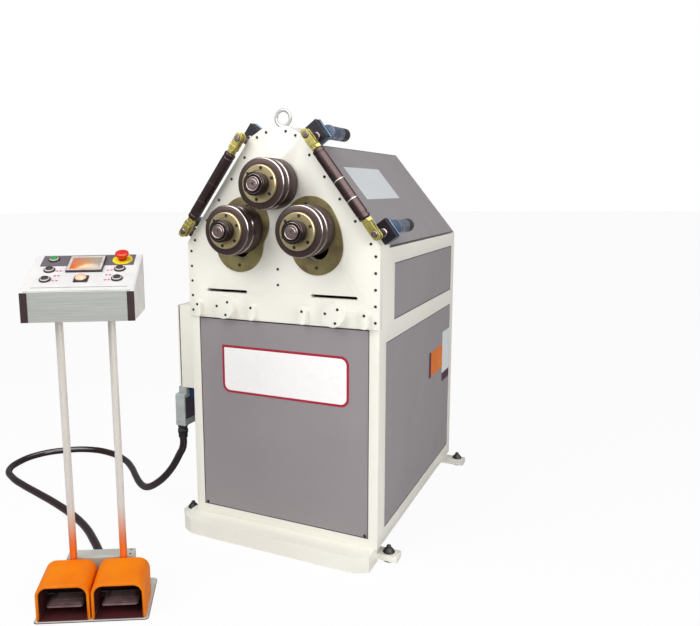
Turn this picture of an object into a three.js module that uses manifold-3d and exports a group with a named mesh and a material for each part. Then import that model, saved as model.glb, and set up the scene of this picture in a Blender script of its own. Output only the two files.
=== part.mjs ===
// Ring roller: a floor-standing section bender with three rolls, and its separate control stand.
// Millimetres, +Z up. X runs across the front, +Y towards the back. The origin is on the floor,
// below the middle of the front plate's face.

import * as THREE from 'three';
import { mergeVertices } from 'three/addons/utils/BufferGeometryUtils.js';
import Module from 'manifold-3d';

const wasm = await Module();
wasm.setup();

// Clearances and fineness of round shapes
const seatGap = 0.3;
const runningGap = 0.5;
const cutOverrun = 6;
const mergeDistance = 0.001;
const fineSides = 36;
const roundSides = 24;
const smallSides = 12;
const arcSteps = 4;
const degree = Math.PI / 180;

// Pedestal rails, and the front plate on them: a house shape of thick steel
const middleRailBase = 731;
const middleRailHeight = 61;
const middleRailTop = middleRailBase + middleRailHeight;
const plateLap = 8;
const plateBottom = middleRailTop - plateLap;
const shoulderRise = 259;
const slopeFaceRise = 341;
const crownRise = 30;
const shoulderHeight = plateBottom + shoulderRise;
const crownSlopeHeight = shoulderHeight + slopeFaceRise;
const crownHeight = crownSlopeHeight + crownRise;
const frameHalfWidth = 347;
const plateOverhang = 3;
const plateHalfWidth = frameHalfWidth + plateOverhang;
const crownSlopeHalf = 96;
const crownHalf = 44;
const plateThickness = 25;
const guideSlotCentre = 197;
const guideSlotLength = 160;
const guideSlotHeight = 11;
const guideSlotRise = 95.5;
const guideSlotLevel = plateBottom + guideSlotRise;
const bossRadius = 38.5;
const bossCentre = 201;
const bossRise = 40;
const bossLevel = plateBottom + bossRise;
const bossDepth = 20;
const lugHalfWidth = 12;
const lugLength = 56;
const lugRise = 30;
const lugLevel = plateBottom + lugRise;
const lugInner = 94;
const lugOuter = 306;

// Cabinet frame: welded posts and rails
const frameFront = 4;
const frameRear = 975;
const postFace = 31.5;
const frontPostDepth = 70;
const headPostRear = 155;
const rearPostDepth = 40;
const bottomRailBase = 55;
const bottomRailTop = 102;
const sillTop = 86;
const sillDepth = 30;
const headerFront = 14;
const headerDepth = 46;
const shoulderRailDrop = 64;
const shoulderRailBase = shoulderHeight - shoulderRailDrop;
const roofShoulderDrop = 7;
const roofShoulder = shoulderHeight - roofShoulderDrop;
const roofHalf = 90;
const roofDrop = 22;
const roofHeight = crownSlopeHeight - roofDrop;
const ridgeThickness = 12;
const headRingRear = 100;
const headRingWidth = 45;
const deckFront = 90;
const deckRear = 300;
const deckThickness = 15;
const panFront = 250;
const panRear = 800;
const panThickness = 12;

// Sheet covers
const coverGauge = 2.5;
const sideRecess = 1.5;
const frontRecess = 3;
const frontPanelDrop = 3;
const frontPanelTop = plateBottom - frontPanelDrop;
const slopeCoverRear = 957;
const rearCoverMargin = 12;

// Base beams, foot tabs and levelling bolts
const beamOverhang = 25;
const beamSetback = 10;
const beamLeft = frameHalfWidth + beamOverhang;
const beamRight = frameHalfWidth - beamSetback;
const beamFront = -72;
const beamChamferX = 44;
const beamChamferY = 26;
const frontBeamRear = 85;
const rearBeamFront = 915;
const rearBeamRear = 1000;
const leftTabLength = 60;
const frontRightTabLength = 66;
const rearRightTabLength = 78;
const leftTabReach = beamLeft + leftTabLength;
const frontRightTabReach = beamRight + frontRightTabLength;
const rearRightTabReach = beamRight + rearRightTabLength;
const tabBase = 8;
const tabThickness = 20;
const tabRoot = 90;
const frontTabFront = 34;
const rearTabFront = 945;
const runnerCentre = 240;
const runnerWidth = 50;
const runnerHeight = 40;
const leftBoltEdge = 25;
const frontRightBoltEdge = 35;
const rearRightBoltEdge = 32;
const leftBoltX = leftTabReach - leftBoltEdge;
const frontRightBoltX = frontRightTabReach - frontRightBoltEdge;
const rearRightBoltX = rearRightTabReach - rearRightBoltEdge;
const frontBoltY = 61;
const rearBoltY = 980;
const boltPadRadius = 20;
const boltPadHeight = 6;
const boltRadius = 8;
const boltConeRadius = 19.5;
const boltConeTopRadius = 7;
const boltConeHeight = 24;
const boltConeFoot = 4;
const boltConeWaistShare = 0.7;

// Lifting eye
const eyeRingRadius = 25.5;
const eyeWireRadius = 5.5;
const eyeWireSides = 8;
const eyeCollarRadius = 12;
const eyeCollarHeight = 6;
const eyeY = 53;

// Rolls and shafts, measured from the plate's face towards the front
const topRollDrop = 178;
const pivotDrop = 206;
const topRollHeight = crownHeight - topRollDrop;
const pivotHeight = topRollHeight - pivotDrop;
const armRadius = 141;
const armAngle = 25.8 * degree;
const armRaise = 7.5 * degree;
const armLower = 23 * degree;
const rollRadius = 80.5;
const rollBack = -8;
const rollLength = 100;
const rollFrontShare = 0.34;
const rollGrooveWidth = 5;
const rollGrooveDepth = 4;
const rollChamfer = 3;
const shaftRadius = 30;
const shaftNoseRadius = 22;
const shaftTip = -160;
const shaftNoseLength = 40;
const centreHoleRadius = 5;
const centreHoleDepth = 9;
const collarRadius = 36;
const collarRear = 38;
const shaftRear = 440;
const flangeRadius = 58.5;
const flangeThickness = 12;
const nutRadius = 34;
const nutSetback = 6;

// Slots in the plate and their zinc covers
const collarClearance = 6;
const slotCoverHalfWidth = 90;
const slotCoverThickness = 5;

// Bearing housings, swing arms and the fixed roll block
const housingRadius = 58;
const housingFront = 41;
const housingRear = 400;
const hubRadius = 45;
const hubLength = 50;
const leftHubStarts = [60, 250];
const rightHubStarts = [115, 305];
const armWebHeight = 70;
const pivotRadius = 25;
const blockFlangeHalf = 50;
const blockFlangeRear = 50;
const blockFlangeDrop = 55;
const blockFlangeRise = 74;
const blockWebHalf = 14;
const blockWebFront = 170;
const blockWebRear = 245;
const blockTailFront = 360;

// Drive motors with planetary stages
const gearboxRadius = 74;
const gearboxLength = 120;
const motorRadius = 50;
const motorLength = 115;
const motorBoreDepth = 45;

// Lifting cylinders: the ram's eye stands round a pin in the arm's lug
const lugRadius = 215;
const lugAngle = 8 * degree;
const armLugWidth = 40;
const armLugThickness = 20;
const armLugCentre = 150;
const lugEyeRadius = 20;
const ramPinRadius = 10;
const ramPinLength = 60;
const ramPinSlack = 5;
const ramEyeRadius = 24;
const ramCheekThickness = 10;
const ramCheekSpace = 26;
const ramCrownDrop = 42;
const ramCrownHeight = 14;
const ramRadius = 18;
const ramRest = 60;
const cylinderRadius = 35;
const cylinderTopDrop = 135;
const cylinderFloor = 24;

// Hydraulic unit on the pan
const tankHalfWidth = 190;
const tankFront = 300;
const tankRear = 700;
const tankHeight = 260;
const pumpRadius = 75;
const pumpHeight = 210;
const pumpY = 420;
const valveHalfWidth = 70;
const valveFront = 540;
const valveRear = 660;
const valveHeight = 110;

// Side-guide struts along the slopes
const strutY = -23;
const strutOut = 18.5;
const lowerPinAlong = 35;
const upperPinAlong = 409;
const sleeveInset = 57;
const sleeveRadius = 19;
const threadRadius = 10;
const threadReach = 34;
const forkHalfWidth = 13;
const forkHalfDepth = 14;
const forkCheek = 7.5;
const forkEnd = 20;
const forkThroat = 26;
const forkYoke = 28;
const pinHeadRadius = 9;
const pinHeadHeight = 3;
const stubRadius = 11;
const guideBlockHalf = 34;
const guideBlockHeight = 48;
const guideBlockFront = 44;
const guideBlockRear = 90;
const upperBlockRise = 12;
const guideBarRadius = 22;
const guideBarOut = 43;
const guideBarRear = 236;

// Electric cabinet on the left side
const boxFront = 80;
const boxRear = 480;
const boxDrop = 240;
const boxHeight = 312;
const boxBase = middleRailBase - boxDrop;
const boxTop = boxBase + boxHeight;
const boxDepth = 105;
const boxWall = 2.5;
const doorGauge = 5.5;
const doorGap = 5;
const sealInset = 8;
const sealWidth = 10;
const devicePlate = 4;
const deviceDepth = 46;
const deviceMargin = 60;

// Connector hood and gland under the electric cabinet
const hoodReach = 130;
const hoodLeft = -frameHalfWidth - hoodReach;
const hoodWidth = 42;
const hoodFront = 66;
const hoodLength = 120;
const neckHeight = 26;
const hoodHeight = 123;
const hoodTop = boxBase - neckHeight;
const hoodBase = hoodTop - hoodHeight;
const hoodChamfer = 8;
const neckInset = 18;
const neckReach = 125;
const neckLeft = -frameHalfWidth - neckReach;
const neckWidth = 34;
const leverWidth = 2;
const leverDrop = 35;
const leverGap = 4;
const leverTop = boxBase - leverGap;
const leverFront = 74;
const leverRear = 128;
const leverHeight = 16;
const glandReach = 115;
const glandX = -frameHalfWidth - glandReach;
const glandY = 88;
const glandRadius = 19;
const glandLength = 52;
const glandMouthRadius = 16.5;

// Conduit between the hood's gland and the control stand
const conduitRadius = 14;
const conduitSides = 8;
const conduitSteps = 40;

// Control stand
const standX = -291;
const standY = -635;
const standTurn = 30 * degree;
const standPlateHalf = 163;
const standPlateDepth = 215;
const standPlateThickness = 4;
const poleSpread = 75;
const poleY = 142;
const poleRadius = 11;
const terminalHalfWidth = 102;
const terminalFront = 156;
const terminalRear = 206;
const terminalTop = 112;
const standGlandX = -8;
const standGlandLevel = 48;
const standGlandRadius = 18;
const standGlandLength = 28;

// Foot-switch guards and treadles
const guardHalfWidth = 76.5;
const guardCentre = 79;
const guardFront = 4;
const guardRear = 128;
const guardFrontHeight = 112;
const guardRearHeight = 124;
const guardCorner = 34;
const guardWall = 5;
const guardFrontCut = 10;
const treadleHalfWidth = 52;
const treadleFront = 24;
const treadleThickness = 7;
const treadleTilt = 7 * degree;
const treadlePivotY = 112;
const treadlePivotLevel = 26;
const treadlePivotRadius = 6;

// Console
const consoleHalfWidth = 156;
const consoleFront = 60;
const consoleRear = 260;
const consoleBase = 863;
const consoleFrontHeight = 85;
const consoleRearHeight = 168;
const consoleFrontTop = consoleBase + consoleFrontHeight;
const consoleRearTop = consoleBase + consoleRearHeight;
const consoleWall = 3;
const consoleMouthHalf = 45;
const buttonRadius = 11;
const buttonStem = 14;
const buttonRise = 6;
const buttonRimRadius = 14.5;
const buttonRimRise = 4;
const buttonColumn = 100.5;
const buttonRows = [66, 122];
const startAlong = 186;
const stopAlong = 180;
const stopHeadRadius = 20;
const stopHeadHeight = 15;
const stopCrown = 3;
const stopNeck = 14;
const stopCollarRadius = 30;
const stopCollarRise = 3;
const displayHalfWidth = 52;
const displayFrom = 109;
const displayTo = 192;
const displayRise = 5;
const lampHalfWidth = 17;
const lampRise = 4;
const stopTravel = 5;

// Finishes
function finish(color, roughness, metalness) {
  return new THREE.MeshStandardMaterial({ color, roughness, metalness });
}
const creamPaint = finish(0xf3f0e4, 0.45, 0);
const greyPaint = finish(0x8a8587, 0.6, 0);
const rollSteel = finish(0x4a4040, 0.3, 1);
const brightSteel = finish(0xb4b2ae, 0.25, 1);
const blackSteel = finish(0x262426, 0.4, 0.8);
const zincYellow = finish(0xa39a58, 0.35, 0.9);
const castGrey = finish(0x6b7076, 0.6, 0.3);
const hydraulicBlue = finish(0x3c5a78, 0.5, 0.2);
const hoodGrey = finish(0x9aa09e, 0.5, 0.2);
const blackPlastic = finish(0x1b1a1c, 0.35, 0);
const orangePlastic = finish(0xf07a10, 0.35, 0);
const treadGrey = finish(0x54484a, 0.7, 0);
const anodised = finish(0xaeb4ac, 0.4, 0.6);
const redPlastic = finish(0xd8301c, 0.35, 0);
const greenPlastic = finish(0x1f8a34, 0.35, 0);

// A closed mesh becomes a solid, turned right side out if its triangles face inwards
function toSolid(geometry) {
  const bare = geometry.clone();
  bare.deleteAttribute('normal');
  bare.deleteAttribute('uv');
  const merged = mergeVertices(bare, mergeDistance);
  const place = merged.attributes.position.array;
  const corners = [];
  const source = merged.index.array;
  for (let i = 0; i < source.length; i += 3) {
    const [a, b, c] = [source[i], source[i + 1], source[i + 2]];
    if (a !== b && b !== c && c !== a) corners.push([a, b, c]);
  }
  let volume = 0;
  for (const [a, b, c] of corners) {
    const [p, q, r] = [a, b, c].map((i) => new THREE.Vector3().fromArray(place, 3 * i));
    volume += p.dot(q.cross(r));
  }
  const facing = volume < 0 ? corners.map(([a, b, c]) => [a, c, b]) : corners;
  return new wasm.Manifold(new wasm.Mesh({
    numProp: 3,
    vertProperties: new Float32Array(place),
    triVerts: new Uint32Array(facing.flat()),
  }));
}

function toGeometry(solid) {
  const mesh = solid.getMesh();
  const geometry = new THREE.BufferGeometry();
  geometry.setAttribute('position', new THREE.BufferAttribute(new Float32Array(mesh.vertProperties), 3));
  geometry.setIndex(new THREE.BufferAttribute(new Uint32Array(mesh.triVerts), 1));
  geometry.computeVertexNormals();
  return geometry;
}

const join = (...solids) => solids.reduce((whole, next) => whole.add(next));
const cut = (solid, ...tools) => tools.reduce((whole, tool) => whole.subtract(tool), solid);

function place(solid, matrix) {
  const geometry = toGeometry(solid);
  geometry.applyMatrix4(matrix);
  return toSolid(geometry);
}

// Simple shapes. Each takes the places of its faces in the part's own axes.
function bar(x0, x1, y0, y1, z0, z1) {
  const geometry = new THREE.BoxGeometry(x1 - x0, y1 - y0, z1 - z0);
  geometry.translate((x0 + x1) / 2, (y0 + y1) / 2, (z0 + z1) / 2);
  return toSolid(geometry);
}

const axisX = new THREE.Vector3(1, 0, 0);
const axisY = new THREE.Vector3(0, 1, 0);
const axisZ = new THREE.Vector3(0, 0, 1);

function extrude(points, depth, matrix) {
  const shape = new THREE.Shape(points.map(([a, b]) => new THREE.Vector2(a, b)));
  const geometry = new THREE.ExtrudeGeometry(shape, { depth, bevelEnabled: false });
  geometry.applyMatrix4(matrix);
  return toSolid(geometry);
}

// The points are x and z, and the solid runs back from y0 to y1
function extrudeBack(points, y0, y1) {
  const matrix = new THREE.Matrix4().makeBasis(axisX, axisZ, axisY.clone().negate());
  return extrude(points, y1 - y0, matrix.setPosition(0, y1, 0));
}

// The points are y and z, and the solid runs across from x0 to x1
function extrudeAcross(points, x0, x1) {
  const matrix = new THREE.Matrix4().makeBasis(axisY, axisZ, axisX);
  return extrude(points, x1 - x0, matrix.setPosition(x0, 0, 0));
}

// The points are x and y, and the solid runs up from z0 to z1
function extrudeUp(points, z0, z1) {
  return extrude(points, z1 - z0, new THREE.Matrix4().setPosition(0, 0, z0));
}

// Turned shapes: the profile is a list of radius and place along the axis
function turnedBack(profile, x, z, sides = roundSides) {
  const geometry = new THREE.LatheGeometry(profile.map(([r, y]) => new THREE.Vector2(r, y)), sides);
  geometry.translate(x, 0, z);
  return toSolid(geometry);
}

function turnedUp(profile, x, y, sides = roundSides) {
  const geometry = new THREE.LatheGeometry(profile.map(([r, z]) => new THREE.Vector2(r, z)), sides);
  geometry.rotateX(Math.PI / 2);
  geometry.translate(x, y, 0);
  return toSolid(geometry);
}

const rodProfile = (radius, from, to) => [[0, from], [radius, from], [radius, to], [0, to]];

function rodAcross(y, z, radius, x0, x1, sides = smallSides) {
  const geometry = new THREE.CylinderGeometry(radius, radius, x1 - x0, sides);
  geometry.rotateZ(Math.PI / 2);
  geometry.translate((x0 + x1) / 2, y, z);
  return toSolid(geometry);
}

// Outlines
const mirrored = (half) => [...half, ...half.slice().reverse().map(([a, b]) => [-a, b])];

// A convex outline, given counter-clockwise, moved inwards by a distance
function inset(points, distance) {
  const lines = points.map(([ax, ay], i) => {
    const [bx, by] = points[(i + 1) % points.length];
    const length = Math.hypot(bx - ax, by - ay);
    const normal = [(ay - by) / length, (bx - ax) / length];
    return { normal, offset: normal[0] * ax + normal[1] * ay + distance };
  });
  return lines.map((line, i) => {
    const previous = lines[(i + lines.length - 1) % lines.length];
    const [a, b] = previous.normal;
    const [c, d] = line.normal;
    const determinant = a * d - b * c;
    return [
      (previous.offset * d - b * line.offset) / determinant,
      (a * line.offset - previous.offset * c) / determinant,
    ];
  });
}

function arc(cx, cz, radius, from, to, steps = arcSteps) {
  const points = [];
  for (let i = 0; i <= steps; i += 1) {
    const angle = from + (to - from) * (i / steps);
    points.push([cx + radius * Math.cos(angle), cz + radius * Math.sin(angle)]);
  }
  return points;
}

// The four sides of a rectangle with a centre, a width and a height
const around = (x, z, width, height) => [x - width / 2, x + width / 2, z - height / 2, z + height / 2];

function roundedRectangle(x0, x1, z0, z1, radius) {
  const quarter = Math.PI / 2;
  return [
    ...arc(x1 - radius, z0 + radius, radius, -quarter, 0),
    ...arc(x1 - radius, z1 - radius, radius, 0, quarter),
    ...arc(x0 + radius, z1 - radius, radius, quarter, 2 * quarter),
    ...arc(x0 + radius, z0 + radius, radius, 2 * quarter, 3 * quarter),
  ];
}

// A straight strap between two points, of one width
function strap([ax, az], [bx, bz], width) {
  const length = Math.hypot(bx - ax, bz - az);
  const [nx, nz] = [((az - bz) / length) * (width / 2), ((bx - ax) / length) * (width / 2)];
  return [[ax - nx, az - nz], [bx - nx, bz - nz], [bx + nx, bz + nz], [ax + nx, az + nz]];
}

// Round-ended slot along the arc that a swing arm's shaft follows
function swingSlot(side, halfWidth) {
  const low = armAngle - armLower;
  const high = armAngle + armRaise;
  const [lowX, lowZ] = [armRadius * Math.cos(low), pivotHeight + armRadius * Math.sin(low)];
  const [highX, highZ] = [armRadius * Math.cos(high), pivotHeight + armRadius * Math.sin(high)];
  const points = [
    ...arc(0, pivotHeight, armRadius + halfWidth, low, high),
    ...arc(highX, highZ, halfWidth, high, high + Math.PI, 2 * arcSteps).slice(1, -1),
    ...arc(0, pivotHeight, armRadius - halfWidth, high, low),
    ...arc(lowX, lowZ, halfWidth, low + Math.PI, low + 2 * Math.PI, 2 * arcSteps).slice(1, -1),
  ];
  return points.map(([x, z]) => [side * x, z]);
}

const machine = new THREE.Group();

function piece(name, solid, material, parent = machine) {
  const mesh = new THREE.Mesh(toGeometry(solid), material);
  mesh.name = name;
  parent.add(mesh);
  return mesh;
}

const sides = [[-1, 'left'], [1, 'right']];

// Front plate, with its shaft hole, the arms' slots, the guides' slots and the bosses below them
const plateHalf = [
  [plateHalfWidth, plateBottom],
  [plateHalfWidth, shoulderHeight],
  [crownSlopeHalf, crownSlopeHeight],
  [crownHalf, crownHeight],
];
const plateHoleRadius = collarRadius + collarClearance;

function frontPlate() {
  const steel = extrudeBack(mirrored(plateHalf), 0, plateThickness);
  const through = [-cutOverrun, plateThickness + cutOverrun];
  const holes = [turnedBack(rodProfile(plateHoleRadius, ...through), 0, topRollHeight)];
  const bosses = [];
  for (const [side] of sides) {
    holes.push(extrudeBack(swingSlot(side, plateHoleRadius), ...through));
    const slot = around(side * guideSlotCentre, guideSlotLevel, guideSlotLength, guideSlotHeight);
    holes.push(extrudeBack(roundedRectangle(...slot, guideSlotHeight / 2), ...through));
    const disc = rodProfile(bossRadius, -bossDepth, plateThickness / 2);
    bosses.push(turnedBack(disc, side * bossCentre, bossLevel));
    for (const x of [side * lugInner, side * lugOuter]) {
      const lug = roundedRectangle(...around(x, lugLevel, 2 * lugHalfWidth, lugLength), lugHalfWidth);
      bosses.push(extrudeBack(lug, -bossDepth, plateThickness / 2));
    }
  }
  return join(cut(steel, ...holes), ...bosses);
}
piece('front_plate', frontPlate(), creamPaint);

// Cabinet frame. The head ring behind the plate has the plate's slopes, and the roof behind it is lower.
const slopeRise = (crownSlopeHeight - shoulderHeight) / (plateHalfWidth - crownSlopeHalf);
const roofRun = roofHalf - frameHalfWidth;
const roofRise = roofHeight - roofShoulder;
const roofLength = Math.hypot(roofRun, roofRise);
const coverSeat = coverGauge + seatGap;
const frameShoulder = roofShoulder + (coverSeat * roofLength) / roofRun;
const frameRoofHalf = roofHalf - (coverSeat * roofLength) / roofRise;
const behindPlate = plateThickness + seatGap;
const rearPostFront = frameRear - rearPostDepth;
const memberInner = frameHalfWidth - postFace;

function ringPart(half, width, y0, y1) {
  const outline = mirrored(half);
  const opening = extrudeBack(inset(outline, width), y0 - cutOverrun, y1 + cutOverrun);
  return cut(extrudeBack(outline, y0, y1), opening);
}

function cabinetFrame() {
  const headShoulder = shoulderHeight + (plateHalfWidth - frameHalfWidth) * slopeRise;
  const headHalf = [
    [frameHalfWidth, middleRailBase],
    [frameHalfWidth, headShoulder],
    [crownSlopeHalf, crownSlopeHeight],
    [crownHalf, crownHeight],
  ];
  const roofOutline = [
    [frameHalfWidth, middleRailBase],
    [frameHalfWidth, frameShoulder],
    [frameRoofHalf, roofHeight],
  ];
  const members = [
    ringPart(headHalf, headRingWidth, behindPlate, headRingRear),
    ringPart(roofOutline, rearPostDepth, rearPostFront, frameRear),
    bar(-frameRoofHalf, frameRoofHalf, behindPlate, frameRear, roofHeight - ridgeThickness, roofHeight),
    bar(-frameHalfWidth, frameHalfWidth, frameFront, frameFront + sillDepth, bottomRailBase, sillTop),
    bar(
      -memberInner, memberInner, headerFront, headerFront + headerDepth,
      middleRailBase, plateBottom - seatGap,
    ),
    bar(-frameHalfWidth, frameHalfWidth, rearPostFront, frameRear, bottomRailBase, bottomRailTop),
    bar(
      -frameHalfWidth, frameHalfWidth, deckFront, deckRear,
      middleRailBase, middleRailBase + deckThickness,
    ),
    bar(-frameHalfWidth, frameHalfWidth, panFront, panRear, bottomRailBase, bottomRailBase + panThickness),
  ];
  for (const [side] of sides) {
    const [x0, x1] = side < 0 ? [-frameHalfWidth, -memberInner] : [memberInner, frameHalfWidth];
    members.push(
      bar(x0, x1, frameFront, frameFront + frontPostDepth, bottomRailBase, plateBottom - seatGap),
      bar(x0, x1, behindPlate, headPostRear, middleRailBase, frameShoulder),
      bar(x0, x1, rearPostFront, frameRear, bottomRailBase, frameShoulder),
      bar(x0, x1, frameFront, frameRear, bottomRailBase, bottomRailTop),
      bar(x0, x1, behindPlate, frameRear, middleRailBase, middleRailTop),
      bar(x0, x1, behindPlate, frameRear, shoulderRailBase, frameShoulder),
    );
  }
  return join(...members);
}
piece('cabinet_frame', cabinetFrame(), creamPaint);

// Sheet panels, each in its opening of the frame, and the rear cover on the back of it
const panelFace = frameHalfWidth - sideRecess;
const frontPanelFace = frameFront + frontRecess;
piece('front_panel', bar(
  seatGap - memberInner, memberInner - seatGap,
  frontPanelFace, frontPanelFace + coverGauge, sillTop + seatGap, frontPanelTop,
), greyPaint);

for (const [side, label] of sides) {
  const [x0, x1] = side < 0 ? [-panelFace, coverGauge - panelFace] : [panelFace - coverGauge, panelFace];
  const rear = rearPostFront - seatGap;
  piece(`${label}_lower_panel`, bar(
    x0, x1, frameFront + frontPostDepth + seatGap, rear, bottomRailTop + seatGap, middleRailBase - seatGap,
  ), greyPaint);
  piece(`${label}_upper_panel`, bar(
    x0, x1, headPostRear + seatGap, rear, middleRailTop + seatGap, shoulderRailBase - seatGap,
  ), greyPaint);
  const [outX, outZ] = [roofRise / roofLength, -roofRun / roofLength];
  const strip = [
    [frameHalfWidth, roofShoulder],
    [roofHalf, roofHeight],
    [roofHalf - coverGauge * outX, roofHeight - coverGauge * outZ],
    [frameHalfWidth - coverGauge * outX, roofShoulder - coverGauge * outZ],
  ].map(([x, z]) => [side * x, z]);
  piece(`${label}_slope_cover`, extrudeBack(strip, headRingRear + seatGap, slopeCoverRear), greyPaint);
}

const rearOutline = mirrored([
  [frameHalfWidth, bottomRailBase],
  [frameHalfWidth, frameShoulder],
  [frameRoofHalf, roofHeight],
]);
piece('rear_cover', extrudeBack(
  inset(rearOutline, rearCoverMargin), frameRear + seatGap, frameRear + seatGap + coverGauge,
), greyPaint);

// Base frame: two beams with a foot tab at each end, and two runners between them
const beamTop = bottomRailBase - seatGap;
const tabTop = tabBase + tabThickness;
const frontBolts = [-leftBoltX, frontRightBoltX];
const rearBolts = [-leftBoltX, rearRightBoltX];

function tabbed(beam, [tabFront, tabRear], rightReach, bolts, boltY) {
  const tabs = [
    bar(-leftTabReach, tabRoot - beamLeft, tabFront, tabRear, tabBase, tabTop),
    bar(beamRight - tabRoot, rightReach, tabFront, tabRear, tabBase, tabTop),
  ];
  const hole = rodProfile(boltRadius + runningGap, tabBase - cutOverrun, tabTop + cutOverrun);
  const holes = bolts.map((x) => turnedUp(hole, x, boltY, smallSides));
  return cut(join(beam, ...tabs), ...holes);
}

const beamEnd = (reach) => [
  [reach - beamChamferX, beamFront],
  [reach, beamFront + beamChamferY],
  [reach, frontTabFront],
  [memberInner, frontTabFront],
  [memberInner, frontBeamRear],
];
const leftBeamEnd = beamEnd(beamLeft).map(([x, y]) => [-x, y]);
const frontBeam = extrudeUp([...beamEnd(beamRight), ...leftBeamEnd.reverse()], 0, beamTop);
const rearBeam = bar(-memberInner, memberInner, rearBeamFront, rearBeamRear, 0, beamTop);
const runners = sides.map(([side]) => {
  const [x0, x1] = [side * runnerCentre - runnerWidth / 2, side * runnerCentre + runnerWidth / 2];
  return bar(x0, x1, 0, (rearBeamFront + rearBeamRear) / 2, beamTop - runnerHeight, beamTop);
});
piece('base_frame', join(
  tabbed(frontBeam, [frontTabFront, frontBeamRear], frontRightTabReach, frontBolts, frontBoltY),
  tabbed(rearBeam, [rearTabFront, rearBeamRear], rearRightTabReach, rearBolts, rearBoltY),
  ...runners,
), creamPaint);

function levellingBolt(x, y) {
  const coneBase = tabTop + seatGap;
  return turnedUp([
    [0, 0], [boltPadRadius, 0], [boltPadRadius, boltPadHeight], [boltRadius, boltPadHeight],
    [boltRadius, coneBase], [boltConeRadius, coneBase], [boltConeRadius, coneBase + boltConeFoot],
    [boltConeWaistShare * boltConeRadius, coneBase + boltConeHeight / 2],
    [boltConeTopRadius, coneBase + boltConeHeight], [0, coneBase + boltConeHeight],
  ], x, y, smallSides);
}
sides.forEach(([, label], i) => {
  piece(`front_${label}_levelling_bolt`, levellingBolt(frontBolts[i], frontBoltY), blackSteel);
  piece(`rear_${label}_levelling_bolt`, levellingBolt(rearBolts[i], rearBoltY), blackSteel);
});

// Lifting eye on the crown of the head ring
function liftingEye() {
  const ring = new THREE.TorusGeometry(eyeRingRadius, eyeWireRadius, eyeWireSides, roundSides);
  const base = crownHeight + seatGap;
  ring.rotateX(Math.PI / 2);
  ring.translate(0, eyeY, base + eyeRingRadius + eyeWireRadius);
  return join(toSolid(ring), turnedUp(rodProfile(eyeCollarRadius, base, base + eyeCollarHeight), 0, eyeY));
}
piece('lifting_eye', liftingEye(), creamPaint);

// Shafts with their rolls and retainers. A retainer is a flange ring with the lock nut on it.
const armPoint = (side, radius, angle) => [
  side * radius * Math.cos(angle), pivotHeight + radius * Math.sin(angle),
];
const axes = {
  top: [0, topRollHeight],
  left: armPoint(-1, armRadius, armAngle),
  right: armPoint(1, armRadius, armAngle),
};
const rollFront = rollBack - rollLength;
const flangeBack = rollFront - seatGap;
const flangeFront = flangeBack - flangeThickness;
const noseRoot = shaftTip + shaftNoseLength;
const boreRadius = shaftRadius + runningGap;

function rollProfile() {
  const groove = rollFront + rollLength * rollFrontShare;
  const rim = rollRadius - rollChamfer;
  return [
    [boreRadius, rollFront], [rim, rollFront], [rollRadius, rollFront + rollChamfer],
    [rollRadius, groove - rollGrooveWidth / 2], [rollRadius - rollGrooveDepth, groove],
    [rollRadius, groove + rollGrooveWidth / 2], [rollRadius, rollBack - rollChamfer],
    [rim, rollBack], [boreRadius, rollBack], [boreRadius, rollFront],
  ];
}

const shaftProfile = [
  [0, shaftTip + centreHoleDepth], [centreHoleRadius, shaftTip],
  [shaftNoseRadius, shaftTip], [shaftNoseRadius, noseRoot],
  [shaftRadius, noseRoot], [shaftRadius, rollBack + seatGap],
  [collarRadius, rollBack + seatGap], [collarRadius, collarRear],
  [shaftRadius, collarRear], [shaftRadius, shaftRear], [0, shaftRear],
];
const nutFront = shaftTip + nutSetback;
const nutBore = shaftNoseRadius + runningGap;
const retainerProfile = [
  [boreRadius, flangeBack], [flangeRadius, flangeBack], [flangeRadius, flangeFront],
  [nutRadius, flangeFront], [nutRadius, nutFront], [nutBore, nutFront],
  [nutBore, noseRoot - seatGap], [boreRadius, noseRoot - seatGap], [boreRadius, flangeBack],
];
const driveBack = housingRear + seatGap + gearboxLength;
const driveProfile = [
  [0, housingRear + seatGap + motorBoreDepth], [boreRadius, housingRear + seatGap + motorBoreDepth],
  [boreRadius, housingRear + seatGap], [gearboxRadius, housingRear + seatGap],
  [gearboxRadius, driveBack], [motorRadius, driveBack],
  [motorRadius, driveBack + motorLength], [0, driveBack + motorLength],
];

for (const [label, [x, z]] of Object.entries(axes)) {
  piece(`${label}_shaft`, turnedBack(shaftProfile, x, z), brightSteel);
  piece(`${label}_roll`, turnedBack(rollProfile(), x, z, fineSides), rollSteel);
  piece(`${label}_retainer`, turnedBack(retainerProfile, x, z), zincYellow);
  piece(`${label}_drive`, turnedBack(driveProfile, x, z, smallSides * 2), castGrey);
}

// Zinc covers in front of the arms' slots
for (const [side, label] of sides) {
  const plate = extrudeBack(swingSlot(side, slotCoverHalfWidth), -slotCoverThickness - seatGap, -seatGap);
  const hole = extrudeBack(swingSlot(side, plateHoleRadius), -slotCoverThickness - cutOverrun, cutOverrun);
  piece(`${label}_slot_cover`, cut(plate, hole), zincYellow);
}

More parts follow.
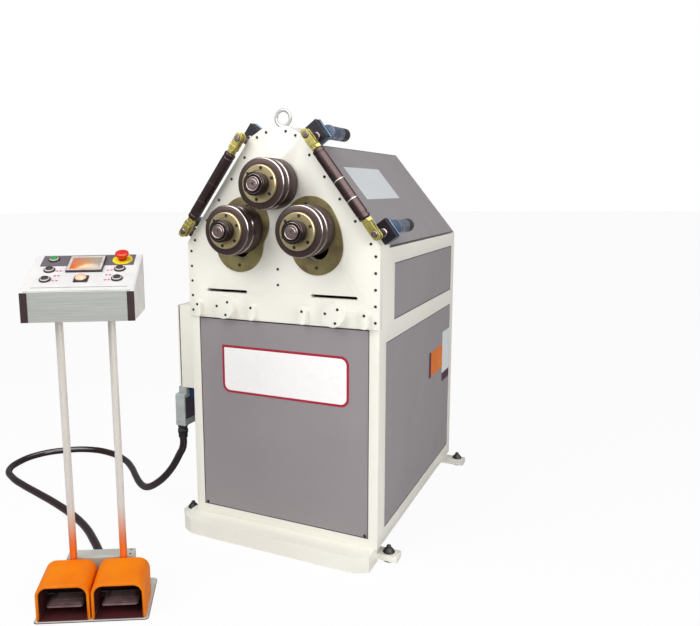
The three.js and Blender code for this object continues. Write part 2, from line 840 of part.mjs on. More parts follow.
// Fixed roll block behind the plate: the upper bearing housing and the tube that the arms swing on
function rollBlock() {
  const flangeLow = pivotHeight - blockFlangeDrop;
  const flangeHigh = topRollHeight + blockFlangeRise;
  const flange = bar(-blockFlangeHalf, blockFlangeHalf, behindPlate, blockFlangeRear, flangeLow, flangeHigh);
  const housing = turnedBack(rodProfile(housingRadius, behindPlate, housingRear), 0, topRollHeight);
  const pivot = turnedBack(rodProfile(pivotRadius, behindPlate, housingRear), 0, pivotHeight);
  const webs = [[blockWebFront, blockWebRear], [blockTailFront, housingRear]].map(([y0, y1]) => (
    bar(-blockWebHalf, blockWebHalf, y0, y1, pivotHeight, topRollHeight)
  ));
  const bore = rodProfile(boreRadius, blockFlangeRear - cutOverrun, housingRear + cutOverrun);
  const mouth = rodProfile(plateHoleRadius, -cutOverrun, blockFlangeRear);
  const body = join(flange, housing, pivot, ...webs);
  return cut(body, turnedBack(bore, 0, topRollHeight), turnedBack(mouth, 0, topRollHeight));
}
piece('roll_block', rollBlock(), castGrey);

// Swing arms: a bearing housing, two hubs on the pivot tube, and a lug with the ram's pin
function swingArm(side, hubStarts) {
  const centre = armPoint(side, armRadius, armAngle);
  const eye = armPoint(side, lugRadius, lugAngle);
  const lugRange = [armLugCentre - armLugThickness / 2, armLugCentre + armLugThickness / 2];
  const parts = [
    turnedBack(rodProfile(housingRadius, housingFront, housingRear), ...centre),
    extrudeBack(strap(centre, eye, armLugWidth), ...lugRange),
    turnedBack(rodProfile(lugEyeRadius, ...lugRange), ...eye, smallSides),
  ];
  for (const start of hubStarts) {
    const range = [start, start + hubLength];
    parts.push(turnedBack(rodProfile(hubRadius, ...range), 0, pivotHeight));
    parts.push(extrudeBack(strap([0, pivotHeight], centre, armWebHeight), ...range));
  }
  const through = [housingFront - cutOverrun, housingRear + cutOverrun];
  const bores = [
    turnedBack(rodProfile(boreRadius, ...through), ...centre),
    turnedBack(rodProfile(pivotRadius + runningGap, ...through), 0, pivotHeight),
  ];
  const pin = rodProfile(ramPinRadius, armLugCentre - ramPinLength / 2, armLugCentre + ramPinLength / 2);
  return join(cut(join(...parts), ...bores), turnedBack(pin, ...eye, smallSides));
}
piece('left_swing_arm', swingArm(-1, leftHubStarts), castGrey);
piece('right_swing_arm', swingArm(1, rightHubStarts), castGrey);

// Lifting cylinders on the deck. The ram's cheeks leave room for the pin's small sideways travel.
const deckTop = middleRailBase + deckThickness + seatGap;
const lugReach = lugRadius * Math.cos(Math.max(lugAngle + armRaise, armLower - lugAngle));
const ramX = (lugRadius + lugReach) / 2;
const lugLevelRest = pivotHeight + lugRadius * Math.sin(lugAngle);
const cylinderTop = lugLevelRest - cylinderTopDrop;
const cylinderBoreFloor = deckTop + cylinderFloor;
const ramBottom = cylinderTop - ramRest;

for (const [side, label] of sides) {
  const x = side * ramX;
  const bore = ramRadius + runningGap;
  piece(`${label}_cylinder`, turnedUp([
    [0, deckTop], [cylinderRadius, deckTop], [cylinderRadius, cylinderTop], [bore, cylinderTop],
    [bore, cylinderBoreFloor], [0, cylinderBoreFloor],
  ], x, armLugCentre), hydraulicBlue);
  const crownBase = lugLevelRest - ramCrownDrop;
  const crownTop = crownBase + ramCrownHeight;
  const half = ramCheekSpace / 2 + ramCheekThickness;
  const cheeks = [-half, ramCheekSpace / 2].map((start) => {
    const range = [armLugCentre + start, armLugCentre + start + ramCheekThickness];
    const post = bar(x - ramRadius, x + ramRadius, ...range, crownBase, lugLevelRest);
    return join(post, turnedBack(rodProfile(ramEyeRadius, ...range), x, lugLevelRest));
  });
  const eyeHole = [armLugCentre - half - cutOverrun, armLugCentre + half + cutOverrun];
  const ram = join(
    ...cheeks,
    bar(x - ramRadius, x + ramRadius, armLugCentre - half, armLugCentre + half, crownBase, crownTop),
    turnedUp(rodProfile(ramRadius, ramBottom, crownTop), x, armLugCentre),
  );
  piece(`${label}_ram`, cut(
    ram, turnedBack(rodProfile(ramPinRadius + ramPinSlack, ...eyeHole), x, lugLevelRest),
  ), brightSteel);
}

// Hydraulic unit: tank, upright pump motor and valve block
const panTop = bottomRailBase + panThickness + seatGap;
const tankTop = panTop + tankHeight;
piece('hydraulic_unit', join(
  bar(-tankHalfWidth, tankHalfWidth, tankFront, tankRear, panTop, tankTop),
  turnedUp(rodProfile(pumpRadius, panTop, tankTop + pumpHeight), 0, pumpY),
  bar(-valveHalfWidth, valveHalfWidth, valveFront, valveRear, panTop, tankTop + valveHeight),
), hydraulicBlue);

// Side-guide struts. Along a slope: x runs up the slope from the shoulder, y back and z away from it.
const slopeLength = Math.hypot(plateHalfWidth - crownSlopeHalf, crownSlopeHeight - shoulderHeight);
const slopeCos = (plateHalfWidth - crownSlopeHalf) / slopeLength;
const slopeSin = (crownSlopeHeight - shoulderHeight) / slopeLength;

function slopeMatrix(side) {
  const up = new THREE.Vector3(-side * slopeCos, 0, slopeSin);
  const out = new THREE.Vector3(side * slopeSin, 0, slopeCos);
  return new THREE.Matrix4().makeBasis(up, axisY, out).setPosition(side * plateHalfWidth, 0, shoulderHeight);
}

const sleeveFrom = lowerPinAlong + sleeveInset;
const sleeveTo = upperPinAlong - sleeveInset;
const threadBore = threadRadius + runningGap;

// One end: a fork on the block's stub, which has a head in front, and the guide bar behind the block
function guideArm(pinAlong, towards, blockCentre) {
  const [forkFront, forkBack] = [strutY - forkHalfDepth, strutY + forkHalfDepth];
  const forkOut = [strutOut - forkHalfWidth, strutOut + forkHalfWidth];
  const along = (from, to) => [pinAlong + towards * from, pinAlong + towards * to].sort((a, b) => a - b);
  const stub = rodProfile(stubRadius, forkFront, guideBlockFront + cutOverrun);
  const stubHead = rodProfile(pinHeadRadius, forkFront - pinHeadHeight, forkFront + forkCheek);
  const guideBar = rodProfile(guideBarRadius, guideBlockRear - cutOverrun, guideBarRear);
  const blockEnds = [blockCentre - guideBlockHalf, blockCentre + guideBlockHalf];
  return join(
    bar(...along(-forkEnd, forkThroat), forkFront, forkFront + forkCheek, ...forkOut),
    bar(...along(-forkEnd, forkThroat), forkBack - forkCheek, forkBack, ...forkOut),
    bar(...along(forkThroat, forkThroat + forkYoke), forkFront, forkBack, ...forkOut),
    rodAcross(strutY, strutOut, threadRadius, ...along(forkThroat, sleeveInset + threadReach)),
    turnedBack(stubHead, pinAlong, strutOut, smallSides),
    turnedBack(stub, pinAlong, strutOut, smallSides),
    bar(...blockEnds, guideBlockFront, guideBlockRear, seatGap, guideBlockHeight),
    turnedBack(guideBar, pinAlong, guideBarOut),
  );
}

for (const [side, label] of sides) {
  const matrix = slopeMatrix(side);
  const sleeve = cut(
    rodAcross(strutY, strutOut, sleeveRadius, sleeveFrom, sleeveTo, roundSides),
    rodAcross(strutY, strutOut, threadBore, sleeveFrom - cutOverrun, sleeveTo + cutOverrun),
  );
  piece(`${label}_strut_sleeve`, place(sleeve, matrix), blackSteel);
  const lowerArm = guideArm(lowerPinAlong, 1, lowerPinAlong);
  const upperArm = guideArm(upperPinAlong, -1, upperPinAlong + upperBlockRise);
  piece(`${label}_lower_guide_arm`, place(lowerArm, matrix), hydraulicBlue);
  piece(`${label}_upper_guide_arm`, place(upperArm, matrix), hydraulicBlue);
}

// Electric cabinet: an open shell with its device plate, and a door with a seal
const boxInner = -frameHalfWidth - seatGap;
const boxOuter = boxInner - boxDepth;

function electricCabinet() {
  const shell = bar(boxOuter, boxInner, boxFront, boxRear, boxBase, boxTop);
  const hollow = bar(
    boxOuter - cutOverrun, boxInner - boxWall,
    boxFront + boxWall, boxRear - boxWall, boxBase + boxWall, boxTop - boxWall,
  );
  const plateFace = boxInner - boxWall - devicePlate;
  const deviceY = [boxFront + deviceMargin, boxRear - deviceMargin];
  const middle = (boxBase + boxTop) / 2;
  const devices = [
    bar(plateFace, boxInner, boxFront + deviceMargin / 2, boxRear - deviceMargin / 2,
      boxBase + deviceMargin / 2, boxTop - deviceMargin / 2),
    bar(plateFace - deviceDepth, boxInner, ...deviceY, middle + deviceMargin / 2, boxTop - deviceMargin),
    bar(
      plateFace - deviceDepth / 2, boxInner, ...deviceY,
      boxBase + deviceMargin, middle - deviceMargin / 2,
    ),
  ];
  return join(cut(shell, hollow), ...devices);
}
piece('electric_cabinet', electricCabinet(), creamPaint);

const doorInner = boxOuter - doorGap;
const doorOuter = doorInner - doorGauge;

function electricDoor() {
  const leaf = bar(doorOuter, doorInner, boxFront, boxRear, boxBase, boxTop);
  const rim = [boxFront, boxRear, boxBase, boxTop];
  const inwards = [1, -1, 1, -1];
  const outer = rim.map((value, i) => value + inwards[i] * sealInset);
  const inner = outer.map((value, i) => value + inwards[i] * sealWidth);
  const seal = cut(
    bar(doorInner - doorGauge / 2, boxOuter - seatGap, ...outer),
    bar(doorInner - doorGauge - cutOverrun, boxOuter + cutOverrun, ...inner),
  );
  return join(leaf, seal);
}
piece('electric_door', electricDoor(), creamPaint);

// Connector hood with its lever and gland, hanging below the electric cabinet
function connectorHood() {
  const hoodRight = hoodLeft + hoodWidth;
  const rear = hoodFront + hoodLength;
  const body = [
    [hoodFront, hoodBase], [rear, hoodBase], [rear, hoodTop - hoodChamfer], [rear - hoodChamfer, hoodTop],
    [hoodFront + hoodChamfer, hoodTop], [hoodFront, hoodTop - hoodChamfer],
  ];
  const strapFrom = hoodTop - leverDrop;
  const [leverLeft, leverRight] = [hoodLeft - leverWidth, hoodRight + leverWidth];
  const levers = [[leverLeft, hoodLeft], [hoodRight, leverRight]].map(([x0, x1]) => (
    bar(x0, x1, leverFront, leverRear, strapFrom, leverTop)
  ));
  const glandBase = hoodBase - glandLength;
  return join(
    extrudeAcross(body, hoodLeft, hoodRight),
    bar(
      neckLeft, neckLeft + neckWidth, hoodFront + neckInset, rear - neckInset,
      hoodTop - hoodChamfer, boxBase - seatGap,
    ),
    ...levers,
    bar(leverLeft, leverRight, leverFront, leverFront + leverHeight, leverTop - leverHeight, leverTop),
    turnedUp([
      [0, glandBase], [glandMouthRadius, glandBase], [glandRadius, glandBase + glandRadius],
      [glandRadius, hoodBase + hoodChamfer], [0, hoodBase + hoodChamfer],
    ], glandX, glandY, smallSides),
  );
}
piece('connector_hood', connectorHood(), hoodGrey);

// Control stand: its own group, turned to face the operator
const stand = new THREE.Group();
stand.position.set(standX, standY, 0);
stand.rotation.z = standTurn;
machine.add(stand);
const poleTop = consoleBase - seatGap;
const glandOuter = terminalRear + standGlandLength;

function standFrame() {
  const plate = bar(-standPlateHalf, standPlateHalf, 0, standPlateDepth, 0, standPlateThickness);
  const box = bar(-terminalHalfWidth, terminalHalfWidth, terminalFront, terminalRear, 0, terminalTop);
  const collar = rodProfile(standGlandRadius, terminalRear - cutOverrun, glandOuter);
  const gland = turnedBack(collar, standGlandX, standGlandLevel, smallSides);
  const poles = sides.map(([side]) => (
    turnedUp(rodProfile(poleRadius, 0, poleTop), side * poleSpread, poleY, smallSides * 2)
  ));
  return join(plate, box, gland, ...poles);
}
piece('stand_frame', standFrame(), anodised, stand);

// Foot-switch guards: arched hoods, open at the front, on the base plate
const plateTop = standPlateThickness + seatGap;

function archPoints(halfWidth, base, top, corner) {
  return [
    [halfWidth, base],
    ...arc(halfWidth - corner, top - corner, corner, 0, Math.PI / 2),
    ...arc(corner - halfWidth, top - corner, corner, Math.PI / 2, Math.PI),
    [-halfWidth, base],
  ];
}

function footGuard(centre) {
  const outer = extrudeBack(
    archPoints(guardHalfWidth, plateTop, guardRearHeight, guardCorner), guardFront, guardRear,
  );
  const inner = extrudeBack(
    archPoints(
      guardHalfWidth - guardWall, plateTop - cutOverrun,
      guardRearHeight - guardWall, guardCorner - guardWall,
    ),
    guardFront - cutOverrun, guardRear - guardWall,
  );
  const above = guardRearHeight + cutOverrun;
  const wedge = (lower) => extrudeAcross([
    [guardFront - cutOverrun, above], [guardFront - cutOverrun, guardFrontHeight - lower],
    [guardFront + guardFrontCut, guardFrontHeight - lower],
    [guardRear, guardRearHeight - lower], [guardRear, above],
  ], -guardHalfWidth - cutOverrun, guardHalfWidth + cutOverrun);
  const guard = cut(cut(outer, wedge(0)), cut(inner, wedge(guardWall)));
  return guard.translate([centre, 0, 0]);
}

// Treadles: a ribbed plate on a pivot tube between the guard's walls
function treadle(centre) {
  const tubeHalf = guardHalfWidth - guardWall - seatGap;
  const length = treadlePivotY - treadleFront;
  const rise = length * Math.tan(treadleTilt);
  const plate = extrudeAcross([
    [treadleFront, treadlePivotLevel + rise - treadleThickness / 2],
    [treadlePivotY, treadlePivotLevel - treadleThickness / 2],
    [treadlePivotY, treadlePivotLevel + treadleThickness / 2],
    [treadleFront, treadlePivotLevel + rise + treadleThickness / 2],
  ], centre - treadleHalfWidth, centre + treadleHalfWidth);
  const tubeEnds = [centre - tubeHalf, centre + tubeHalf];
  return join(plate, rodAcross(treadlePivotY, treadlePivotLevel, treadlePivotRadius, ...tubeEnds));
}

for (const [side, label] of sides) {
  piece(`${label}_foot_guard`, footGuard(side * guardCentre), orangePlastic, stand);
  piece(`${label}_treadle`, treadle(side * guardCentre), treadGrey, stand);
}

// Console: a sheet housing with a sloping top. Along the top: x across, y up the slope, z out of it.
const topRun = consoleRear - consoleFront;
const topRise = consoleRearTop - consoleFrontTop;
const consoleTilt = Math.atan2(topRise, topRun);
const panelMatrix = new THREE.Matrix4().makeRotationX(consoleTilt);
panelMatrix.setPosition(0, consoleFront, consoleFrontTop);
const onPanel = (solid) => place(solid, panelMatrix);
const keyHole = buttonRadius + runningGap;

const keys = [
  { name: 'start_button', x: -buttonColumn, along: startAlong, material: greenPlastic },
  { name: 'left_lower_button', x: -buttonColumn, along: buttonRows[0], material: blackPlastic },
  { name: 'left_upper_button', x: -buttonColumn, along: buttonRows[1], material: blackPlastic },
  { name: 'right_lower_button', x: buttonColumn, along: buttonRows[0], material: blackPlastic },
  { name: 'right_upper_button', x: buttonColumn, along: buttonRows[1], material: blackPlastic },
];

function consoleHousing() {
  const side = [
    [consoleFront, consoleBase], [consoleRear, consoleBase],
    [consoleRear, consoleRearTop], [consoleFront, consoleFrontTop],
  ];
  const shell = extrudeAcross(side, -consoleHalfWidth, consoleHalfWidth);
  const innerHalf = consoleHalfWidth - consoleWall;
  const hollow = extrudeAcross(inset(side, consoleWall), -innerHalf, innerHalf);
  const mouth = bar(
    -consoleMouthHalf, consoleMouthHalf, poleY - consoleMouthHalf, poleY + consoleMouthHalf,
    consoleBase - cutOverrun, consoleBase + consoleWall + cutOverrun,
  );
  const root = -consoleWall / 2;
  const rim = rodProfile(buttonRimRadius, root, buttonRimRise);
  const hole = rodProfile(keyHole, -buttonStem - cutOverrun, buttonRimRise + cutOverrun);
  const lamp = around(0, buttonRows[0], 2 * lampHalfWidth, 2 * lampHalfWidth);
  const fittings = [
    bar(-displayHalfWidth, displayHalfWidth, displayFrom, displayTo, root, displayRise),
    bar(...lamp, root, lampRise),
    turnedUp(rodProfile(stopCollarRadius, root, stopCollarRise), buttonColumn, stopAlong),
  ];
  const holes = [turnedUp(hole, buttonColumn, stopAlong, smallSides)];
  for (const { x, along } of keys) {
    fittings.push(turnedUp(rim, x, along, smallSides * 2));
    holes.push(turnedUp(hole, x, along, smallSides));
  }
  const housing = cut(shell, hollow, mouth);
  return cut(join(housing, ...fittings.map(onPanel)), ...holes.map(onPanel));
}
piece('console_housing', consoleHousing(), anodised, stand);

for (const { name, x, along, material } of keys) {
  const button = rodProfile(buttonRadius, -buttonStem, buttonRimRise + buttonRise);
  piece(name, onPanel(turnedUp(button, x, along, smallSides)), material, stand);
}
const stopBase = stopCollarRise + stopTravel + runningGap;
const stopRim = stopBase + stopHeadHeight;
const stopProfile = [
  [0, -buttonStem], [buttonRadius, -buttonStem], [buttonRadius, stopBase], [stopNeck, stopBase],
  [stopHeadRadius, stopBase + stopHeadHeight / 2], [stopHeadRadius, stopRim],
  [stopNeck, stopRim + stopCrown], [0, stopRim + stopCrown],
];
const stopButton = turnedUp(stopProfile, buttonColumn, stopAlong, smallSides * 2);
piece('emergency_stop', onPanel(stopButton), redPlastic, stand);

// Conduit: down from the hood's gland, over the floor in one wide loop, and into the stand's gland
function standPoint(x, y, z) {
  return new THREE.Vector3(x, y, z).applyAxisAngle(axisZ, standTurn).add(stand.position);
}
const floorLevel = conduitRadius;
const looseRoute = [
  [-462, 88, 268], [-468, 89.5, 244], [-485, 92, 216], [-507, 95, 180], [-535, 99, 142], [-572, 104, 102],
  [-618, 113, 64], [-668, 129, 33], [-712, 150, 17.5], [-758, 179, floorLevel], [-820, 230, floorLevel],
  [-890, 291, floorLevel], [-980, 352, floorLevel], [-1090, 389, floorLevel], [-1215, 384, floorLevel],
  [-1322, 322, floorLevel], [-1390, 232, floorLevel], [-1403, 128, floorLevel], [-1368, 38, floorLevel],
  [-1290, -14, floorLevel], [-1190, -50, floorLevel], [-1068, -84, floorLevel], [-930, -124, floorLevel],
  [-805, -168, floorLevel], [-686, -224, floorLevel], [-590, -287, floorLevel], [-518, -340, floorLevel],
  [-470, -378, 22],
].map(([x, y, z]) => new THREE.Vector3(x, y, z));

function conduit() {
  const start = new THREE.Vector3(glandX, glandY, hoodBase - glandLength - seatGap);
  const end = standPoint(standGlandX, glandOuter + seatGap, standGlandLevel);
  const lead = standPoint(standGlandX, glandOuter + 2 * conduitRadius, standGlandLevel);
  const route = new THREE.CatmullRomCurve3([start, ...looseRoute, lead, end], false, 'centripetal');
  const section = new THREE.Shape();
  for (let i = 0; i < conduitSides; i += 1) {
    const angle = (2 * Math.PI * i) / conduitSides;
    const [x, y] = [conduitRadius * Math.cos(angle), conduitRadius * Math.sin(angle)];
    if (i === 0) section.moveTo(x, y);
    else section.lineTo(x, y);
  }
  section.closePath();
  const along = { steps: conduitSteps, extrudePath: route, bevelEnabled: false };
  return new THREE.ExtrudeGeometry(section, along);
}
piece('conduit', toSolid(conduit()), blackPlastic);

export default machine;
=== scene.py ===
import math

import bmesh
import bpy
from mathutils import Matrix, Vector


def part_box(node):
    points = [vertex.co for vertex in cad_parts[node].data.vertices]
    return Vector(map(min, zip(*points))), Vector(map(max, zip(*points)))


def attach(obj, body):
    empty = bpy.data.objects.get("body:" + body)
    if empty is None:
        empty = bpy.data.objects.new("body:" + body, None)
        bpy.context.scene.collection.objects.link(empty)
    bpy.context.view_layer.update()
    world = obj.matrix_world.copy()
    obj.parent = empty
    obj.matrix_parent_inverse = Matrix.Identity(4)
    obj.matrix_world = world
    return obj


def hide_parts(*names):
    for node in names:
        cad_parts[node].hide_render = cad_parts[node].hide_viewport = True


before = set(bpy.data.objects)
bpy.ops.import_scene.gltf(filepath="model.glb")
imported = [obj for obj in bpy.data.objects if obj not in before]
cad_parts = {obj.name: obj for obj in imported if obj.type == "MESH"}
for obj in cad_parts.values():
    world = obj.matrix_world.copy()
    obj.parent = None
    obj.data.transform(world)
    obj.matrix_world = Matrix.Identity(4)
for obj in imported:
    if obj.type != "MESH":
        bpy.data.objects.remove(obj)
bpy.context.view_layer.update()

# Viewpoint: someone stands in front of the machine, a step to its right, with the lens level
# with the rolls. The lens and the turn put the edges where the photograph has them.
lens = bpy.data.cameras.new("viewpoint")
lens.lens = 35.6
lens.sensor_width = 36
lens.shift_x = 0.102
lens.shift_y = -0.0168
lens.clip_start = 0.05
viewpoint = bpy.data.objects.new("viewpoint", lens)
bpy.context.scene.collection.objects.link(viewpoint)
eye_place = Matrix.Translation((1.0308, -2.0017, 1.2058))
eye_turn = Matrix.Rotation(math.radians(27.21), 4, "Z")
eye_dip = Matrix.Rotation(math.radians(90 - 8.85), 4, "X")
eye_roll = Matrix.Rotation(math.radians(-0.79), 4, "Z")
viewpoint.matrix_world = eye_place @ eye_turn @ eye_dip @ eye_roll
bpy.context.scene.camera = viewpoint


# Conduit: a smooth black plastic hose over a steel spiral. It hangs from the connector's gland,
# makes one wide loop on the floor and goes into the back of the control stand's terminal box.
def printed(red, green, blue):
    """A colour as a printer's chart gives it, from 0 to 255, made linear for the shader."""
    parts = [value / 255 for value in (red, green, blue)]
    return [value / 12.92 if value <= 0.04045 else ((value + 0.055) / 1.055) ** 2.4 for value in parts]


def add_node(tree, kind, inputs, **settings):
    """Adds a node. Each input gets a value, or the socket that feeds it."""
    node = tree.nodes.new("ShaderNode" + kind)
    for setting, value in settings.items():
        setattr(node, setting, value)
    for label, value in inputs.items():
        if isinstance(value, bpy.types.NodeSocket):
            tree.links.new(value, node.inputs[label])
        else:
            node.inputs[label].default_value = value
    return node


def new_effect(name, own):
    """A node group for several finishes: the inputs that all effects have, and some of its own."""
    group = bpy.data.node_groups.new(name, "ShaderNodeTree")
    taken = {
        "Colour": "Color", "Second Colour": "Color", "Roughness": "Float", "Roughness Spread": "Float",
        "Height": "Float", **own,
    }
    for label, kind in taken.items():
        group.interface.new_socket(label, in_out="INPUT", socket_type="NodeSocket" + kind)
    for label, kind in {"Colour": "Color", "Roughness": "Float", "Normal": "Vector"}.items():
        group.interface.new_socket(label, in_out="OUTPUT", socket_type="NodeSocket" + kind)
    return group, group.nodes.new("NodeGroupInput").outputs


def end_effect(group, given, pattern, low, high, relief=None):
    """The pattern mixes the colours and the gloss, and lifts the surface unless a relief does."""
    spread = add_node(group, "MapRange", {"Value": pattern, "From Min": low, "From Max": high})
    share = spread.outputs["Result"]
    tint = add_node(
        group, "Mix", {"Factor": share, "A": given["Colour"], "B": given["Second Colour"]}, data_type="RGBA"
    )
    gloss = add_node(
        group, "Math", {0: share, 1: given["Roughness Spread"], 2: given["Roughness"]},
        operation="MULTIPLY_ADD",
    )
    rise = add_node(group, "Math", {0: relief or share, 1: given["Height"]}, operation="MULTIPLY")
    bump = add_node(group, "Bump", {"Height": rise.outputs[0], "Distance": 1})
    result = group.nodes.new("NodeGroupOutput").inputs
    group.links.new(tint.outputs["Result"], result["Colour"])
    group.links.new(gloss.outputs[0], result["Roughness"])
    group.links.new(bump.outputs["Normal"], result["Normal"])
    return group


def noise_of_size(group, size, detail):
    """Noise on the piece's own coordinates, with clouds or grains of one size."""
    place = add_node(group, "TexCoord", {}).outputs["Object"]
    scale = add_node(group, "Math", {0: 1, 1: size}, operation="DIVIDE").outputs[0]
    return add_node(group, "TexNoise", {"Vector": place, "Scale": scale, "Detail": detail}).outputs["Fac"]


def make_mottle():
    """Cloudy change of colour and gloss, with a fine grain that can be felt."""
    group, given = new_effect("mottle", {"Cloud Size": "Float", "Grain Size": "Float"})
    clouds = noise_of_size(group, given["Cloud Size"], 5)
    grain = noise_of_size(group, given["Grain Size"], 2)
    return end_effect(group, given, clouds, 0.35, 0.65, grain)


mottle = make_mottle()


def plain_finish(name, roughness, metallic=0.0, coat=0.0):
    finish = bpy.data.materials.new(name)
    finish.use_nodes = True
    shader = finish.node_tree.nodes["Principled BSDF"]
    shader.inputs["Roughness"].default_value = roughness
    shader.inputs["Metallic"].default_value = metallic
    shader.inputs["Coat Weight"].default_value = coat
    shader.inputs["Coat Roughness"].default_value = 0.12
    return finish, shader


def lay_effect(finish, shader, group, colour, second, rough, spread, height, own):
    """Puts an effect into a finish, with this finish's own values."""
    values = {
        "Colour": (*printed(*colour), 1), "Second Colour": (*printed(*second), 1),
        "Roughness": rough, "Roughness Spread": spread, "Height": height, **own,
    }
    effect = add_node(finish.node_tree, "Group", values, node_tree=group)
    for label, end in {"Colour": "Base Color", "Roughness": "Roughness", "Normal": "Normal"}.items():
        finish.node_tree.links.new(effect.outputs[label], shader.inputs[end])
    return finish


def clouded_finish(name, colour, second, cloud, rough, spread, grain, height, metallic=0.0, coat=0.0):
    """A finish with cloudy colour and gloss and a fine grain. Lengths are in metres."""
    finish, shader = plain_finish(name, rough, metallic, coat)
    own = {"Cloud Size": cloud, "Grain Size": grain}
    return lay_effect(finish, shader, mottle, colour, second, rough, spread, height, own)


def mount(piece, body, finish, slot, *nodes):
    """Gives a finished piece its material, the body it moves with and the nodes it stands for."""
    piece.data.materials.clear()
    piece.data.materials.append(finish)
    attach(piece, body)
    if nodes:
        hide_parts(*nodes)
    return piece


conduit_black = clouded_finish(
    "conduit black", (42, 22, 27), (30, 16, 20), 0.06, 0.14, 0.05, 0.008, 0.0001, coat=0.3
)
stand_turn = Matrix.Translation((-0.291, -0.635, 0)) @ Matrix.Rotation(math.radians(30), 4, "Z")
conduit_radius = 0.014
conduit_exit = Vector((-0.462, 0.088, 0.2897))
conduit_route = [
    conduit_exit,
    (-0.462, 0.088, 0.268), (-0.468, 0.0895, 0.244), (-0.485, 0.092, 0.216), (-0.507, 0.095, 0.180),
    (-0.535, 0.099, 0.142), (-0.572, 0.104, 0.102), (-0.618, 0.113, 0.064), (-0.668, 0.129, 0.033),
    (-0.712, 0.150, 0.0175), (-0.758, 0.179, 0.014), (-0.820, 0.230, 0.014), (-0.890, 0.291, 0.014),
    (-0.980, 0.352, 0.014), (-1.090, 0.389, 0.014), (-1.215, 0.384, 0.014), (-1.322, 0.322, 0.014),
    (-1.390, 0.232, 0.014), (-1.403, 0.128, 0.014), (-1.368, 0.038, 0.014), (-1.290, -0.014, 0.014),
    (-1.190, -0.050, 0.014), (-1.068, -0.084, 0.014), (-0.930, -0.124, 0.014), (-0.805, -0.168, 0.014),
    (-0.686, -0.224, 0.014), (-0.590, -0.287, 0.014), (-0.518, -0.340, 0.014), (-0.470, -0.378, 0.022),
    stand_turn @ Vector((-0.008, 0.262, 0.048)), stand_turn @ Vector((-0.008, 0.2343, 0.048)),
]


def lay_conduit():
    line = bpy.data.curves.new("conduit", "CURVE")
    line.dimensions = "3D"
    line.resolution_u = 8
    line.bevel_depth = conduit_radius
    line.bevel_resolution = 5
    line.use_fill_caps = True
    spline = line.splines.new("BEZIER")
    spline.bezier_points.add(len(conduit_route) - 1)
    for knot, place in zip(spline.bezier_points, conduit_route):
        knot.co = place
        knot.handle_left_type = "AUTO"
        knot.handle_right_type = "AUTO"
    piece = bpy.data.objects.new("conduit_hose", line)
    bpy.context.scene.collection.objects.link(piece)
    return piece


conduit_hose = mount(lay_conduit(), "frame", conduit_black, "black_plastic", "conduit")


# Connector: a grey die-cast hood below the electric cabinet, with dark plates on its sides that are
# painted shade, a blue locking lever over its top and a black gland that the conduit is screwed into.
def block(shape, low, high):
    """Adds a box between two corners and returns its corners."""
    middle = [(a + b) / 2 for a, b in zip(low, high)]
    stretch = Matrix.Diagonal((*[b - a for a, b in zip(low, high)], 1))
    return bmesh.ops.create_cube(shape, size=1, matrix=Matrix.Translation(middle) @ stretch)["verts"]


def round_edges(shape, edges, width, segments=4):
    """Rounds chosen edges of a shape that is still being made."""
    bmesh.ops.bevel(
        shape, geom=edges, offset=width, offset_type="OFFSET", segments=segments,
        profile=0.5, affect="EDGES", material=-1, clamp_overlap=True,
    )


def edges_along(shape, axis, verts=None):
    """The edges that run along an axis: 0 for x, 1 for y, 2 for z."""
    chosen = []
    for edge in shape.edges:
        run = edge.verts[1].co - edge.verts[0].co
        if run.length > 1e-6 and abs(run[axis]) > 0.999 * run.length:
            if verts is None or (edge.verts[0] in verts and edge.verts[1] in verts):
                chosen.append(edge)
    return chosen


def keep(shape, name, place=None):
    """Ends a shape: it gets its place and becomes an object at the origin."""
    if place is not None:
        shape.transform(place)
    mesh = bpy.data.meshes.new(name)
    shape.to_mesh(mesh)
    shape.free()
    mesh.shade_smooth()
    piece = bpy.data.objects.new(name, mesh)
    bpy.context.scene.collection.objects.link(piece)
    return piece


def ease(piece, width, segments=2):
    """Takes the sharpness off the edges, as paint, tumbling or a file does."""
    rounding = piece.modifiers.new("eased edges", "BEVEL")
    rounding.width = width
    rounding.segments = segments
    rounding.limit_method = "ANGLE"
    rounding.angle_limit = math.radians(30)
    rounding.harden_normals = True
    return piece


def slab(name, low, high, edge, place=None, corner=0.0, corner_steps=4, axis=2, edge_steps=2):
    """A box as a finished piece. Its edges along one axis can be rounded wide first."""
    shape = bmesh.new()
    block(shape, low, high)
    if corner:
        round_edges(shape, edges_along(shape, axis), corner, corner_steps)
    return ease(keep(shape, name, place), edge, edge_steps)


def spin_profile(shape, profile, steps):
    """Sweeps a profile, given as radius and reach along local z, all the way round that axis."""
    corners = [shape.verts.new((radius, 0, reach)) for radius, reach in profile]
    lines = [shape.edges.new(pair) for pair in zip(corners, corners[1:])]
    bmesh.ops.spin(
        shape, geom=corners + lines, cent=(0, 0, 0), axis=(0, 0, 1),
        angle=2 * math.pi, steps=steps, use_merge=True,
    )


def face_outwards(shape):
    bmesh.ops.recalc_face_normals(shape, faces=shape.faces)


def turned(name, profile, axis_place, steps=96, edge=0.0006):
    """A piece turned on a lathe, with a map of its radius and reach for the turning marks."""
    shape = bmesh.new()
    spin_profile(shape, profile, steps)
    bmesh.ops.remove_doubles(shape, verts=shape.verts, dist=1e-6)
    face_outwards(shape)
    marks = shape.loops.layers.uv.new("turning")
    for face in shape.faces:
        for loop in face.loops:
            place = loop.vert.co
            loop[marks].uv = (math.hypot(place.x, place.y), place.z)
    piece = keep(shape, name, axis_place)
    if edge:
        ease(piece, edge)
    return piece


def upright(x, y):
    return Matrix.Translation((x, y, 0))


